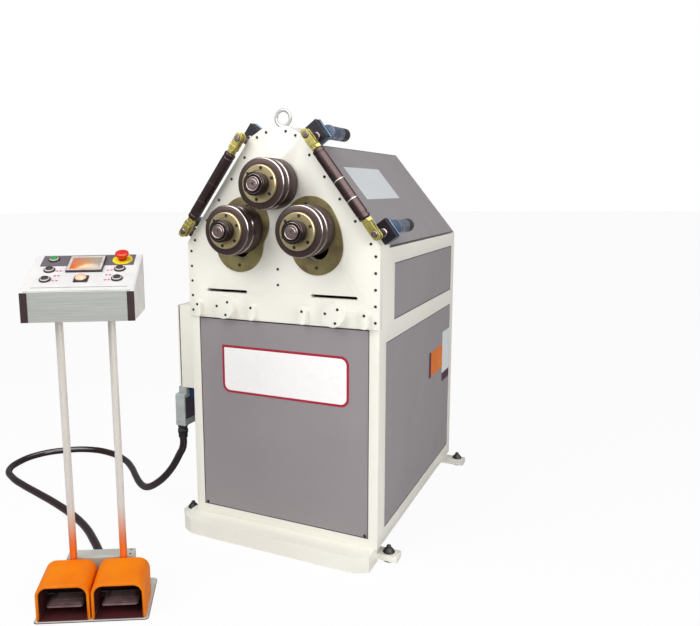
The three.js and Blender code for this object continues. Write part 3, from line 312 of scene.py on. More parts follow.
hood_grey = clouded_finish("hood grey", (176, 183, 180), (156, 163, 162), 0.05, 0.42, 0.1, 0.0012, 0.00004)
hood_shade_finish = clouded_finish("hood side shade", (78, 66, 88), (60, 50, 70), 0.05, 0.45, 0.1, 0.0012, 0.00004)
lever_blue = clouded_finish("lever blue", (36, 84, 150), (28, 66, 128), 0.03, 0.3, 0.1, 0.002, 0.00002)
gland_black = clouded_finish("gland black", (28, 26, 28), (42, 38, 40), 0.03, 0.35, 0.1, 0.001, 0.00003)
hood_left, hood_right = -0.477, -0.435
hood_front, hood_rear = 0.066, 0.186
hood_base, hood_top = 0.342, 0.465
neck_left, neck_right = -0.472, -0.438
neck_front, neck_rear = 0.084, 0.168
neck_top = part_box("connector_hood")[1].z
lever_front, lever_rear, lever_base, lever_top = 0.100, 0.134, 0.438, 0.487
lever_gap, lever_sheet, grip_rear, grip_base = 0.001, 0.002, 0.116, 0.474


def cast_hood():
    """The casting, with two raised bands round its foot and a neck up to the cabinet."""
    shape = bmesh.new()
    block(shape, (hood_left, hood_front, hood_base), (hood_right, hood_rear, hood_top))
    across = [e for e in edges_along(shape, 0) if e.verts[0].co.z > hood_base + 0.01]
    round_edges(shape, across, 0.008, segments=5)
    proud = 0.001
    for low, high in ((0.004, 0.01), (0.016, 0.02)):
        block(
            shape, (hood_left - proud, hood_front - proud, hood_base + low),
            (hood_right + proud, hood_rear + proud, hood_base + high),
        )
    block(shape, (neck_left, neck_front, hood_top - 0.004), (neck_right, neck_rear, neck_top))
    return ease(keep(shape, "hood_casting"), 0.0015, 3)


# Dark plates on both sides of the hood: painted shade for the side turned away from the light.
def hood_side_plate():
    shape = bmesh.new()
    inset, sheet = 0.006, 0.0012
    for face_x in (hood_left - sheet, hood_right):
        block(
            shape, (face_x, hood_front + inset, hood_base + 0.026),
            (face_x + sheet, hood_rear - inset, hood_top - 0.014),
        )
    return ease(keep(shape, "hood_side_shade_plates"), 0.0005)


def locking_lever():
    """Two cheeks beside the hood and a bar across its top."""
    shape = bmesh.new()
    outer = lever_gap + lever_sheet
    for face_x in (hood_left - outer, hood_right + lever_gap):
        block(shape, (face_x, lever_front, lever_base), (face_x + lever_sheet, lever_rear, lever_top))
    block(shape, (hood_left - outer, lever_front, grip_base), (hood_right + outer, grip_rear, lever_top))
    return ease(keep(shape, "hood_lever"), 0.0012, 3)


gland_profile = [
    (0, 0.0035), (0.0145, 0.0035), (0.0145, 0), (0.0168, 0), (0.0175, 0.004), (0.0175, 0.016),
    (0.0188, 0.018), (0.0188, 0.034), (0.0165, 0.036), (0.0165, 0.04), (0.0188, 0.042),
    (0.0188, 0.054), (0, 0.054),
]


def gland_ribs(name, place, radius=0.0188, low=0.019, high=0.033, count=18, depth=0.0012):
    """Grip ribs round the gland's nut."""
    shape = bmesh.new()
    width = 2 * math.pi * radius / count * 0.45
    for step in range(count):
        rib = block(shape, (radius - depth, -width / 2, low), (radius + depth / 2, width / 2, high))
        turn = Matrix.Rotation(2 * math.pi * step / count, 3, "Z")
        bmesh.ops.rotate(shape, cent=(0, 0, 0), matrix=turn, verts=rib)
    return keep(shape, name, place)


gland_place = Matrix.Translation((conduit_exit.x, conduit_exit.y, conduit_exit.z + 0.0003))
mount(cast_hood(), "frame", hood_grey, "hood_grey", "connector_hood")
mount(hood_side_plate(), "frame", hood_shade_finish, "hood_grey")
mount(locking_lever(), "frame", lever_blue, "hood_grey")
mount(turned("hood_gland", gland_profile, gland_place, 48, 0.0005), "frame", gland_black, "black_plastic")
mount(gland_ribs("hood_gland_ribs", gland_place), "frame", gland_black, "black_plastic")


# Control stand: a pale steel base plate with the terminal box behind the pedals and two polished
# tubes that carry the console. Everything on the stand is set out square and then turned.
def make_streaks():
    """Fine lines along one direction, as rolling, brushing or polishing leaves them."""
    group, given = new_effect("streaks", {"Vector": "Vector"})
    lines = add_node(group, "TexNoise", {"Vector": given["Vector"], "Scale": 1, "Detail": 3})
    return end_effect(group, given, lines.outputs["Fac"], 0.3, 0.7)


streaks = make_streaks()


def streaked_finish(name, colour, dark, stretch, rough, spread, depth, metallic=1.0, turn=(0, 0, 0)):
    """A metal with lines. The stretch is lines per metre along x, y and z of the piece."""
    finish, shader = plain_finish(name, rough, metallic)
    tree = finish.node_tree
    place = add_node(tree, "TexCoord", {}).outputs["Object"]
    lines = add_node(
        tree, "Mapping", {"Vector": place, "Rotation": turn, "Scale": [1 / count for count in stretch]},
        vector_type="TEXTURE",
    )
    own = {"Vector": lines.outputs["Vector"]}
    return lay_effect(finish, shader, streaks, colour, dark, rough, spread, depth, own)


pole_steel = streaked_finish(
    "polished tube", (250, 245, 238), (228, 221, 212), (500, 500, 6), 0.26, 0.12, 0.000006, metallic=0.4
)


def paint_guard_reflection(finish, low, high):
    """The tube's lower end is tinted orange, smoothly from low to high: a painted reflection of the guards
    in front of it.
    """
    tree = finish.node_tree
    shader = tree.nodes["Principled BSDF"]
    steel = shader.inputs["Base Color"].links[0].from_socket
    place = add_node(tree, "TexCoord", {}).outputs["Object"]
    split = add_node(tree, "SeparateXYZ", {"Vector": place})
    height = add_node(
        tree, "MapRange", {"Value": split.outputs["Z"], "From Min": low, "From Max": high},
        interpolation_type="SMOOTHSTEP",
    )
    orange = (*printed(242, 128, 52), 1)
    tint = add_node(
        tree, "Mix", {"Factor": height.outputs["Result"], "A": orange, "B": steel}, data_type="RGBA"
    )
    tree.links.new(tint.outputs["Result"], shader.inputs["Base Color"])


# Painted reflection: the tubes' feet take the guards' orange.
paint_guard_reflection(pole_steel, 0.15, 0.31)
plate_grey = clouded_finish(
    "stand plate", (214, 214, 208), (196, 197, 192), 0.08, 0.4, 0.12, 0.0015, 0.00003
)
box_grey = clouded_finish("terminal box", (205, 206, 198), (190, 191, 184), 0.1, 0.38, 0.1, 0.0015, 0.00003)
underlay_shadow_black = clouded_finish("dark underlay shadow", (52, 44, 46), (40, 34, 36), 0.03, 0.6, 0.1, 0.001, 0.00005)
screw_dark = clouded_finish(
    "dark screws", (46, 43, 44), (64, 60, 60), 0.01, 0.35, 0.15, 0.0008, 0.00002, metallic=0.8
)
plate_half, plate_depth, plate_thick = 0.163, 0.215, 0.004
pole_spread, pole_y, pole_radius, pole_top = 0.075, 0.142, 0.011, 0.8627
box_half, box_front, box_rear, box_top = 0.102, 0.156, 0.206, 0.112
lid_top, lid_screw_inset = 0.1135, 0.012
lid_screw = (0.0032, 0.0016)


def stand_layer(name, low, high, grow):
    """The steel plate, or the dark sheet under it that shows round its edge as a painted shadow line."""
    near, far = (-plate_half - grow, -grow, low), (plate_half + grow, plate_depth + grow, high)
    return slab(name, near, far, 0.0005, stand_turn, 0.012, 6)


def terminal_box():
    shape = bmesh.new()
    block(shape, (-box_half, box_front, plate_thick), (box_half, box_rear, box_top))
    round_edges(shape, edges_along(shape, 2), 0.004, segments=3)
    inset = 0.004
    block(
        shape, (-box_half + inset, box_front + inset, box_top - 0.002),
        (box_half - inset, box_rear - inset, lid_top),
    )
    return ease(keep(shape, "terminal_box", stand_turn), 0.001)


def screws(name, places, head, base, body="frame"):
    """Mounts many like dark screws as one piece. The base turns local z to the way they face."""
    radius, rise = head
    profile = [
        (0, rise * 0.45), (radius * 0.42, rise * 0.45), (radius * 0.5, rise), (radius * 0.75, rise * 0.9),
        (radius, rise * 0.35), (radius, -0.001), (0, -0.001),
    ]
    shape = bmesh.new()
    for place in places:
        spin_profile(shape, profile, 16)
        loose = [v for v in shape.verts if not v.tag]
        bmesh.ops.remove_doubles(shape, verts=loose, dist=1e-6)
        loose = [v for v in shape.verts if not v.tag]
        bmesh.ops.transform(shape, matrix=Matrix.Translation(place) @ base, verts=loose)
        for vert in loose:
            vert.tag = True
    face_outwards(shape)
    mount(keep(shape, name), body, screw_dark, "black_steel")


facing_front = Matrix.Rotation(math.radians(90), 4, "X")
facing_back = Matrix.Rotation(math.radians(-90), 4, "X")
mount(stand_layer("stand_plate", 0.0018, plate_thick, 0), "frame", plate_grey, "anodised", "stand_frame")
# A dark sheet a little wider than the plate: painted shadow along the plate's foot.
mount(stand_layer("stand_shadow_sheet", 0, 0.0016, 0.0012), "frame", underlay_shadow_black, "black_plastic")
mount(terminal_box(), "frame", box_grey, "anodised")
lid_screws = [
    stand_turn @ Vector((x, y, lid_top))
    for x in (lid_screw_inset - box_half, box_half - lid_screw_inset)
    for y in (box_front + lid_screw_inset, box_rear - lid_screw_inset)
]
screws("terminal_box_screws", lid_screws, lid_screw, Matrix())
pole_profile = [(0, plate_thick), (pole_radius, plate_thick), (pole_radius, pole_top), (0, pole_top)]
foot_profile = [
    (0.0111, 0.0041), (0.019, 0.0041), (0.019, 0.0075), (0.0135, 0.0095), (0.0111, 0.0095), (0.0111, 0.0041),
]
sides = ((-1, "left"), (1, "right"))
for side, label in sides:
    pole_place = stand_turn @ upright(side * pole_spread, pole_y)
    mount(turned(label + "_pole", pole_profile, pole_place, 64, 0.0008), "frame", pole_steel, "anodised")
    pole_foot = turned(label + "_pole_foot", foot_profile, pole_place, 48, 0.0005)
    mount(pole_foot, "frame", plate_grey, "anodised")
gland_in_box = stand_turn @ Matrix.Translation((-0.008, 0.234, 0.048)) @ facing_front
stand_gland_profile = [
    (0, 0.0035), (0.0145, 0.0035), (0.0145, 0), (0.0166, 0), (0.0174, 0.003), (0.0174, 0.009),
    (0.0182, 0.011), (0.0182, 0.028), (0, 0.028),
]
stand_gland = turned("stand_gland", stand_gland_profile, gland_in_box, 48, 0.0005)
mount(stand_gland, "frame", gland_black, "black_plastic")

# Foot-switch guards: two glossy orange arches of cast aluminium over the treadles. Each is open
# in front, has a thick rolled lip round its mouth and leans a little towards the operator. Their
# inner walls and the pads under the treadles are dark maroon: painted shade inside the arches.
guard_orange = clouded_finish(
    "guard orange", (238, 132, 0), (232, 116, 0), 0.09, 0.34, 0.1, 0.003, 0.0001
)
guard_orange.node_tree.nodes["Principled BSDF"].inputs["Specular IOR Level"].default_value = 0.18
guard_inside_shade = clouded_finish("guard inside shade", (78, 26, 28), (54, 18, 22), 0.05, 0.5, 0.1, 0.002, 0.00005)
guard_half, guard_centre = 0.0765, 0.079
guard_front, guard_rear = 0.004, 0.128
guard_low, guard_front_top, guard_rear_top = 0.0043, 0.112, 0.124
guard_corner, guard_wall, lip_radius = 0.034, 0.005, 0.0042


def verts_of(made):
    return [item for item in made if isinstance(item, bmesh.types.BMVert)]


def edges_of(made):
    return [item for item in made if isinstance(item, bmesh.types.BMEdge)]


def guard_shell(name, centre):
    """An arch drawn at the back, pushed to the mouth in steps, closed behind and sloped in front."""
    shape = bmesh.new()
    straight = guard_rear_top - guard_corner
    foot = shape.verts.new((guard_half, guard_rear, guard_low))
    hip = shape.verts.new((guard_half, guard_rear, straight))
    shape.edges.new((foot, hip))
    corner_turn = {"axis": (0, -1, 0), "angle": math.pi / 2, "steps": 8}
    spun = bmesh.ops.spin(
        shape, geom=[hip], cent=(guard_half - guard_corner, guard_rear, straight), **corner_turn
    )
    far = shape.verts.new((guard_corner - guard_half, guard_rear, guard_rear_top))
    shape.edges.new((verts_of(spun["geom_last"])[0], far))
    spun = bmesh.ops.spin(
        shape, geom=[far], cent=(guard_corner - guard_half, guard_rear, straight), **corner_turn
    )
    end = shape.verts.new((-guard_half, guard_rear, guard_low))
    shape.edges.new((verts_of(spun["geom_last"])[0], end))
    arch = list(shape.edges)
    shape.edges.new((end, foot))
    steps = 6
    for step in range(1, steps + 1):
        made = bmesh.ops.extrude_edge_only(shape, edges=arch)["geom"]
        arch = edges_of(made)
        for vert in verts_of(made):
            vert.co.y = guard_rear + (guard_front - guard_rear) * step / steps
    back = [e for e in shape.edges if all(abs(v.co.y - guard_rear) < 1e-6 for v in e.verts)]
    bmesh.ops.contextual_create(shape, geom=back)
    slope = (guard_rear_top - guard_front_top) / (guard_rear - guard_front)
    for vert in shape.verts:
        lift = (vert.co.z - guard_low) / (guard_rear_top - guard_low)
        vert.co.z -= slope * (guard_rear - vert.co.y) * lift
    face_outwards(shape)
    side_face = max(shape.faces, key=lambda f: f.calc_center_median().x)
    if side_face.normal.x < 0:
        bmesh.ops.reverse_faces(shape, faces=shape.faces)
    piece = keep(shape, name, stand_turn @ upright(centre, 0))
    wall = piece.modifiers.new("wall", "SOLIDIFY")
    wall.thickness = guard_wall
    wall.offset = -1
    wall.use_even_offset = True
    wall.material_offset = 1
    return ease(piece, 0.0022, 3)


def guard_lip(name, centre):
    """The rolled lip round the mouth: a round bar bent over the arch."""
    shape = bmesh.new()
    start_level = guard_low + lip_radius / 2
    inner, corner = guard_half - lip_radius, guard_corner - lip_radius
    straight = guard_front_top - lip_radius - corner
    ring = bmesh.ops.create_circle(shape, segments=12, radius=lip_radius)["verts"]
    bmesh.ops.translate(shape, verts=ring, vec=(inner, 0, start_level))
    start = list({e for v in ring for e in v.link_edges})

    def push(edges, vec):
        made = bmesh.ops.extrude_edge_only(shape, edges=edges)["geom"]
        bmesh.ops.translate(shape, verts=verts_of(made), vec=vec)
        return edges_of(made)

    def bend(edges, centre_x):
        verts = list({v for e in edges for v in e.verts})
        made = bmesh.ops.spin(
            shape, geom=verts + edges, cent=(centre_x, 0, straight), axis=(0, -1, 0),
            angle=math.pi / 2, steps=8,
        )
        return edges_of(made["geom_last"])

    edges = push(start, (0, 0, straight - start_level))
    edges = bend(edges, inner - corner)
    edges = push(edges, (2 * (corner - inner), 0, 0))
    edges = bend(edges, corner - inner)
    edges = push(edges, (0, 0, start_level - straight))
    bmesh.ops.contextual_create(shape, geom=start)
    bmesh.ops.contextual_create(shape, geom=edges)
    face_outwards(shape)
    return keep(shape, name, stand_turn @ upright(centre, guard_front + lip_radius))


for side, label in sides:
    centre = side * guard_centre
    shell = guard_shell(label + "_guard_shell", centre)
    mount(shell, "frame", guard_orange, "orange_plastic", label + "_foot_guard")
    # The shell's inner wall takes the dark maroon: painted shade inside the arch.
    shell.data.materials.append(guard_inside_shade)
    mount(guard_lip(label + "_guard_lip", centre), "frame", guard_orange, "orange_plastic")

# Treadles: a ribbed dark pressing on a hinge tube at its back edge, with a bright wear plate on
# it. A spring below holds it up; the foot tips it a few degrees down.
tread_dark = clouded_finish("treadle", (126, 98, 97), (92, 70, 72), 0.03, 0.5, 0.15, 0.001, 0.00008)
tread_plate = streaked_finish(
    "treadle plate", (206, 180, 176), (150, 126, 124), (30, 700, 700), 0.4, 0.2, 0.00002, metallic=0.4
)
tread_half, tread_front, tread_rear = 0.052, 0.024, 0.112
tread_level, tread_tilt = 0.026, math.radians(7)
hinge_half, hinge_radius = 0.0712, 0.006
rib_count, rib_half, rib_depth, rib_pitch, rib_start = 9, 0.046, 0.0022, 0.0045, 0.008
wear_half, wear_front, wear_rear = 0.036, -0.050, -0.008


def treadle_pressing(name, place, reach):
    """A dark plate with fine ribs across its front, where the toe lies."""
    shape = bmesh.new()
    block(shape, (-tread_half, -reach, -0.0035), (tread_half, 0, 0.0025))
    round_edges(shape, [e for e in edges_along(shape, 2) if e.verts[0].co.y < -reach / 2], 0.008, 4)
    for step in range(rib_count):
        rib_y = rib_start - reach + step * rib_pitch
        block(shape, (-rib_half, rib_y, 0.002), (rib_half, rib_y + rib_depth, 0.004))
    return ease(keep(shape, name, place), 0.0006)


def guard_pad(name, centre):
    """The pad that the treadle comes down on, dark as painted shade on the floor inside the guard."""
    reach = guard_half - 0.0056
    near, far = (centre - reach, 0.003, plate_thick + 0.0003), (centre + reach, guard_rear - 0.006, 0.0056)
    return slab(name, near, far, 0.0004, stand_turn)


hinge_profile = [(0, -hinge_half), (hinge_radius, -hinge_half), (hinge_radius, hinge_half), (0, hinge_half)]
for side, label in sides:
    mount(guard_pad(label + "_guard_pad", side * guard_centre), "frame", guard_inside_shade, "black_plastic")
    body = label + "_treadle"
    hinge_place = stand_turn @ Matrix.Translation((side * guard_centre, tread_rear, tread_level))
    tilted = hinge_place @ Matrix.Rotation(-tread_tilt, 4, "X")
    tread_reach = (tread_rear - tread_front) / math.cos(tread_tilt)
    mount(treadle_pressing(body + "_pressing", tilted, tread_reach), body, tread_dark, "tread_grey", body)
    low, high = (-wear_half, wear_front, 0.002), (wear_half, wear_rear, 0.0034)
    wear_plate = slab(body + "_plate", low, high, 0.0004, tilted, 0.004)
    mount(wear_plate, body, tread_plate, "tread_grey")
    across = hinge_place @ Matrix.Rotation(math.pi / 2, 4, "Y")
    mount(turned(body + "_hinge", hinge_profile, across, 32, 0.0005), body, screw_dark, "tread_grey")

# Console: a brushed aluminium housing with ends in the pale panel colour, a painted reflection of the
# glossy tops of dark plastic end caps, and a dark plastic strip on each front corner.
# Its sloping top carries a pale panel with a dark band, the display, the buttons and the lamp.
console_skin = streaked_finish(
    "console skin", (190, 193, 187), (164, 167, 162), (9, 400, 400), 0.42, 0.14, 0.00002,
    metallic=0.35, turn=(0, 0, math.radians(30)),
)
panel_pale = clouded_finish(
    "console panel", (226, 224, 222), (214, 212, 212), 0.06, 0.4, 0.08, 0.001, 0.00001
)
end_dark = clouded_finish("console strips", (62, 42, 44), (50, 34, 36), 0.03, 0.35, 0.1, 0.0012, 0.00004)
band_grey = clouded_finish("dark band", (98, 92, 98), (88, 83, 88), 0.04, 0.4, 0.08, 0.001, 0.00001)
button_black = clouded_finish("button black", (58, 44, 45), (44, 35, 37), 0.01, 0.3, 0.1, 0.0008, 0.00001)
ring_white = clouded_finish(
    "button rings", (222, 218, 214), (200, 196, 192), 0.01, 0.3, 0.1, 0.0008, 0.00001
)
mark_red = clouded_finish("key marks", (206, 92, 130), (196, 80, 116), 0.01, 0.45, 0.05, 0.001, 0.00001)
lamp_rose = clouded_finish(
    "lamp lens", (244, 208, 168), (240, 178, 160), 0.008, 0.2, 0.08, 0.002, 0.00005, coat=0.4
)
start_green = clouded_finish(
    "start cap", (52, 150, 70), (38, 130, 56), 0.008, 0.25, 0.08, 0.001, 0.00001, coat=0.3
)
stop_red = clouded_finish(
    "stop cap", (228, 44, 8), (204, 26, 6), 0.015, 0.26, 0.08, 0.002, 0.00003, coat=0.3
)
collar_yellow = clouded_finish("stop collar", (238, 222, 20), (226, 204, 8), 0.02, 0.34, 0.1, 0.001, 0.00002)
console_half = 0.156
console_front, console_back = 0.060, 0.260
console_base, console_front_top, console_rear_top = 0.863, 0.948, 1.031
console_wall, mouth_margin = 0.003, 0.055
console_tilt = math.atan2(console_rear_top - console_front_top, console_back - console_front)
panel_length = math.hypot(console_back - console_front, console_rear_top - console_front_top)
on_panel = (
    stand_turn @ Matrix.Translation((0, console_front, console_front_top))
    @ Matrix.Rotation(console_tilt, 4, "X")
)
end_width, strip_width, strip_rise = 0.011, 0.020, 0.0014


def console_section(shape, low_x, high_x):
    """The housing's side outline, pushed across from one x to the other."""
    outline = [
        (console_front, console_base), (console_back, console_base),
        (console_back, console_rear_top), (console_front, console_front_top),
    ]
    face = shape.faces.new([shape.verts.new((low_x, y, z)) for y, z in outline])
    moved = verts_of(bmesh.ops.extrude_face_region(shape, geom=[face])["geom"])
    bmesh.ops.translate(shape, verts=moved, vec=(high_x - low_x, 0, 0))
    face_outwards(shape)


def console_body():
    """A hollow housing of sheet, with a mouth in its floor for the wires."""
    shape = bmesh.new()
    console_section(shape, end_width - console_half, console_half - end_width)
    base = [f for f in shape.faces if f.normal.z < -0.9]
    bmesh.ops.inset_region(shape, faces=base, thickness=mouth_margin, use_even_offset=True)
    bmesh.ops.delete(shape, geom=base, context="FACES")
    piece = keep(shape, "console_housing_shell", stand_turn)
    wall = piece.modifiers.new("sheet", "SOLIDIFY")
    wall.thickness = console_wall
    wall.offset = -1
    return ease(piece, 0.0012, 3)


def console_end(side, label):
    shape = bmesh.new()
    console_section(shape, *sorted((side * console_half, side * (console_half - end_width))))
    return ease(keep(shape, f"console_{label}_end", stand_turn), 0.0025, 4)


def panel_slab(name, left, right, near, far, low, high, corner, edge=0.0004):
    """A flat rectangular piece on the sloping top, between two places along it."""
    return slab(name, (left, near, low), (right, far, high), edge, on_panel, corner, 5)


def corner_strip(side, label):
    """A dark strip that covers the joint between the front and one end."""
    low, high = sorted((side * (console_half + 0.0004), side * (console_half - strip_width)))
    near = (low, console_front - strip_rise, console_base)
    far = (high, console_front, console_front_top - 0.002)
    return slab(f"console_{label}_strip", near, far, 0.0006, stand_turn)


mount(console_body(), "frame", console_skin, "anodised", "console_housing")
for side, label in sides:
    # The ends are pale all over: a painted reflection of the shine on the dark caps' glossy tops.
    mount(console_end(side, label), "frame", panel_pale, "anodised")
    mount(corner_strip(side, label), "frame", end_dark, "black_plastic")
panel_margin, print_low, print_high = 0.004, 0.0008, 0.0016
panel_edge, panel_end = console_half - panel_margin, panel_length - panel_margin
for name, left, right, near, far, low, high, corner, finish in (
    ("panel", -panel_edge, panel_edge, panel_margin, panel_end, -0.0005, 0.0012, 0.003, panel_pale),
    ("band", -0.134, 0.137, 0.145, 0.211, print_low, print_high, 0.002, band_grey),
    ("rule", -0.131, 0.136, 0.0205, 0.0225, print_low, print_high, 0, band_grey),
):
    print_slab = panel_slab("console_" + name, left, right, near, far, low, high, corner)
    mount(print_slab, "frame", finish, "anodised")


# Display: a dark housing that stands off the panel, with a silver frame round an amber glass that
# shows lighter fields. The housing's dark sides also stand in for the shade below the display: painted
# shade.
def screen_finish():
    finish, shader = plain_finish("amber screen", 0.12, coat=0.6)
    tree = finish.node_tree
    place = add_node(tree, "UVMap", {}, uv_map="screen").outputs["UV"]
    split = add_node(tree, "SeparateXYZ", {"Vector": place})
    ramp = add_node(tree, "ValToRGB", {"Fac": split.outputs["X"]})
    stops = ramp.color_ramp.elements
    stops[0].position = 0.1
    stops[0].color = (*printed(232, 116, 40), 1)
    stops[1].position = 0.85
    stops[1].color = (*printed(206, 190, 170), 1)
    stops.new(0.5).color = (*printed(222, 160, 96), 1)
    fields = add_node(tree, "TexBrick", {
        "Vector": place, "Scale": 3, "Mortar Size": 0.012, "Color1": (1, 1, 1, 1),
        "Color2": (0.92, 0.92, 0.92, 1), "Mortar": (0.62, 0.58, 0.55, 1),
    })
    tint = add_node(
        tree, "Mix", {"Factor": 1, "A": ramp.outputs["Color"], "B": fields.outputs["Color"]},
        data_type="RGBA", blend_type="MULTIPLY",
    )
    tree.links.new(tint.outputs["Result"], shader.inputs["Base Color"])
    return finish


display_half = 0.052
display_from, display_to, display_rise = 0.106, 0.194, 0.0075
frame_width, frame_rise = 0.007, 0.0018


def display_frame():
    """The silver frame on top of the housing."""
    shape = bmesh.new()
    inset, sink = 0.002, 0.0014
    block(
        shape, (inset - display_half, display_from + inset, display_rise + 0.0002),
        (display_half - inset, display_to - inset, display_rise + frame_rise),
    )
    upper = [f for f in shape.faces if f.normal.z > 0.9]
    bmesh.ops.inset_region(shape, faces=upper, thickness=frame_width, use_even_offset=True)
    bmesh.ops.translate(shape, verts=upper[0].verts[:], vec=(0, 0, -sink))
    return ease(keep(shape, "display_frame", on_panel), 0.0004)


def display_glass():
    shape = bmesh.new()
    margin = frame_width + 0.0025
    low_x, high_x = margin - display_half, display_half - margin
    low_y, high_y = display_from + margin, display_to - margin
    block(shape, (low_x, low_y, display_rise + 0.0003), (high_x, high_y, display_rise + 0.0008))
    sheet = shape.loops.layers.uv.new("screen")
    for face in shape.faces:
        for loop in face.loops:
            spot = loop.vert.co
            loop[sheet].uv = ((spot.x - low_x) / (high_x - low_x), (spot.y - low_y) / (high_y - low_y))
    return keep(shape, "display_glass", on_panel)


frame_silver = clouded_finish(
    "display frame", (214, 208, 204), (188, 180, 176), 0.02, 0.25, 0.1, 0.001, 0.00001
)
# The housing is dark plastic, and its dark sides are also painted shade below the display.
housing = panel_slab(
    "display_housing", -display_half, display_half, display_from, display_to, 0.0005, display_rise, 0, 0.0008
)
mount(housing, "frame", end_dark, "black_plastic")
mount(display_frame(), "frame", frame_silver, "anodised")
mount(display_glass(), "frame", screen_finish(), "orange_plastic")

# Push buttons: a black bezel and a pale ring, both fixed, round a cap that goes in against a spring.
# Pairs of dark caps move the arms, the green one starts, and a red mushroom on yellow stops all.
button_column = 0.1005
button_rows = (0.066, 0.122)
start_along, stop_along = 0.186, 0.180
bezel_profile = [
    (0.0132, -0.0005), (0.0168, -0.0005), (0.0170, 0.0016), (0.0160, 0.0052), (0.0132, 0.0058),
    (0.0132, -0.0005),
]
ring_profile = [
    (0.0112, -0.0015), (0.0131, -0.0015), (0.0136, 0.0056), (0.0124, 0.0078), (0.0112, 0.0078),
    (0.0112, -0.0015),
]
cap_profile = [
    (0, -0.014), (0.0108, -0.014), (0.0108, 0.0085), (0.0102, 0.0098), (0.0085, 0.010), (0.008, 0.0094),
    (0, 0.0094),
]
cap_face_profile = [(0, 0.009), (0.0076, 0.009), (0.0076, 0.0099), (0.007, 0.0101), (0, 0.0101)]
near_row, far_row = button_rows
buttons = [("start_button", -button_column, start_along, start_green, "green_plastic")]
for side, label in sides:
    for height, along in (("lower", near_row), ("upper", far_row)):
        stem = f"{label}_{height}_button"
        buttons.append((stem, side * button_column, along, button_black, "black_plastic"))
for name, x, along, finish, slot in buttons:
    place = on_panel @ Matrix.Translation((x, along, 0))
    mount(turned(name + "_bezel", bezel_profile, place, 48, 0.0003), "frame", button_black, "black_plastic")
    mount(turned(name + "_ring", ring_profile, place, 48, 0.0003), "frame", ring_white, "anodised")
    mount(turned(name + "_cap", cap_profile, place, 48, 0.0003), name, finish, slot, name)
    mount(turned(name + "_cap_face", cap_face_profile, place, 32, 0.0002), name, finish, slot)
mark_radius, mark_rise = 0.0056, 0.0006
mark_inward, mark_spread, mark_drop = 0.028, 0.0052, 0.006
mark_rows = (near_row, (near_row + far_row) / 2, far_row)


def key_mark(name, x, along, way):
    """A small raised arrow beside a button."""
    shape = bmesh.new()
    tip = bmesh.ops.create_circle(shape, segments=3, radius=mark_radius, cap_ends=True)["verts"]
    turn = Matrix.Rotation(0 if way > 0 else math.pi, 3, "Z")
    bmesh.ops.rotate(shape, cent=(0, 0, 0), matrix=turn, verts=tip)
    raised = verts_of(bmesh.ops.extrude_face_region(shape, geom=shape.faces[:])["geom"])
    bmesh.ops.translate(shape, verts=raised, vec=(0, 0, mark_rise))
    face_outwards(shape)
    return keep(shape, name, on_panel @ Matrix.Translation((x, along, 0.001)))


for side, label in sides:
    for row, along in enumerate(mark_rows):
        for way, end in ((-1, "inner"), (1, "outer")):
            x = side * (button_column - mark_inward + way * mark_spread)
            mark = key_mark(f"{label}_mark_{row}_{end}", x, along - mark_drop, way)
            mount(mark, "frame", mark_red, "red_plastic")

lamp_place = on_panel @ Matrix.Translation((0, near_row, 0))
lamp_half_width, lamp_half_length = 0.02, 0.018
lamp_profile = [
    (0, 0.006), (0.0158, 0.006), (0.0160, 0.0085), (0.0130, 0.0125), (0.007, 0.0142), (0, 0.0144),
]
lamp_base_profile = [(0, 0.0035), (0.0172, 0.0035), (0.0172, 0.0062), (0.0150, 0.0075), (0, 0.0075)]
lamp_plate = panel_slab(
    "lamp_plate", -lamp_half_width, lamp_half_width,
    near_row - lamp_half_length, near_row + lamp_half_length, 0.0005, 0.004, 0.003,
)
mount(lamp_plate, "frame", end_dark, "black_plastic")
mount(turned("lamp_base", lamp_base_profile, lamp_place, 48, 0.0003), "frame", button_black, "black_plastic")
mount(turned("lamp_lens", lamp_profile, lamp_place, 48, 0.0003), "frame", lamp_rose, "red_plastic")

stop_red.node_tree.nodes["Principled BSDF"].inputs["Specular IOR Level"].default_value = 0.35
stop_place = on_panel @ Matrix.Translation((button_column, stop_along, 0))
collar_profile = [
    (0.0116, -0.001), (0.0295, -0.001), (0.030, 0.0012), (0.0288, 0.003), (0.0116, 0.003), (0.0116, -0.001),
]
stop_profile = [
    (0, -0.014), (0.0108, -0.014), (0.0108, 0.0086), (0.0145, 0.0088), (0.0152, 0.012), (0.0188, 0.0165),
    (0.020, 0.0195), (0.020, 0.0225), (0.0185, 0.0248), (0.015, 0.0262), (0.008, 0.0267), (0, 0.0268),
]
stop_collar = turned("stop_collar", collar_profile, stop_place, 64, 0.0004)
mount(stop_collar, "frame", collar_yellow, "orange_plastic")
mushroom = turned("stop_mushroom", stop_profile, stop_place, 64, 0)
mount(mushroom, "emergency_stop", stop_red, "red_plastic", "emergency_stop")

# Welded work: the base frame, the cabinet frame, the front plate and the lifting eye are steel in
# one warm white machine paint, sprayed thick enough to round every edge a little.
cream_paint = clouded_finish(
    "cream paint", (241, 239, 230), (236, 233, 222), 0.5, 0.36, 0.1, 0.0025, 0.00006, coat=0.12
)


def painted_copy(node, name, width, segments=2):
    """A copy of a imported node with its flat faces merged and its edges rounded."""
    shape = bmesh.new()
    shape.from_mesh(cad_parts[node].data)
    bmesh.ops.remove_doubles(shape, verts=shape.verts, dist=1e-5)
    bmesh.ops.dissolve_limit(
        shape, angle_limit=math.radians(1), verts=shape.verts, edges=shape.edges, delimit={"NORMAL"}
    )
    return ease(keep(shape, name), width, segments)


for node, width in (("base_frame", 0.0018), ("cabinet_frame", 0.0018), ("front_plate", 0.0012)):
    mount(painted_copy(node, node + "_painted", width), "frame", cream_paint, "cream_paint", node)

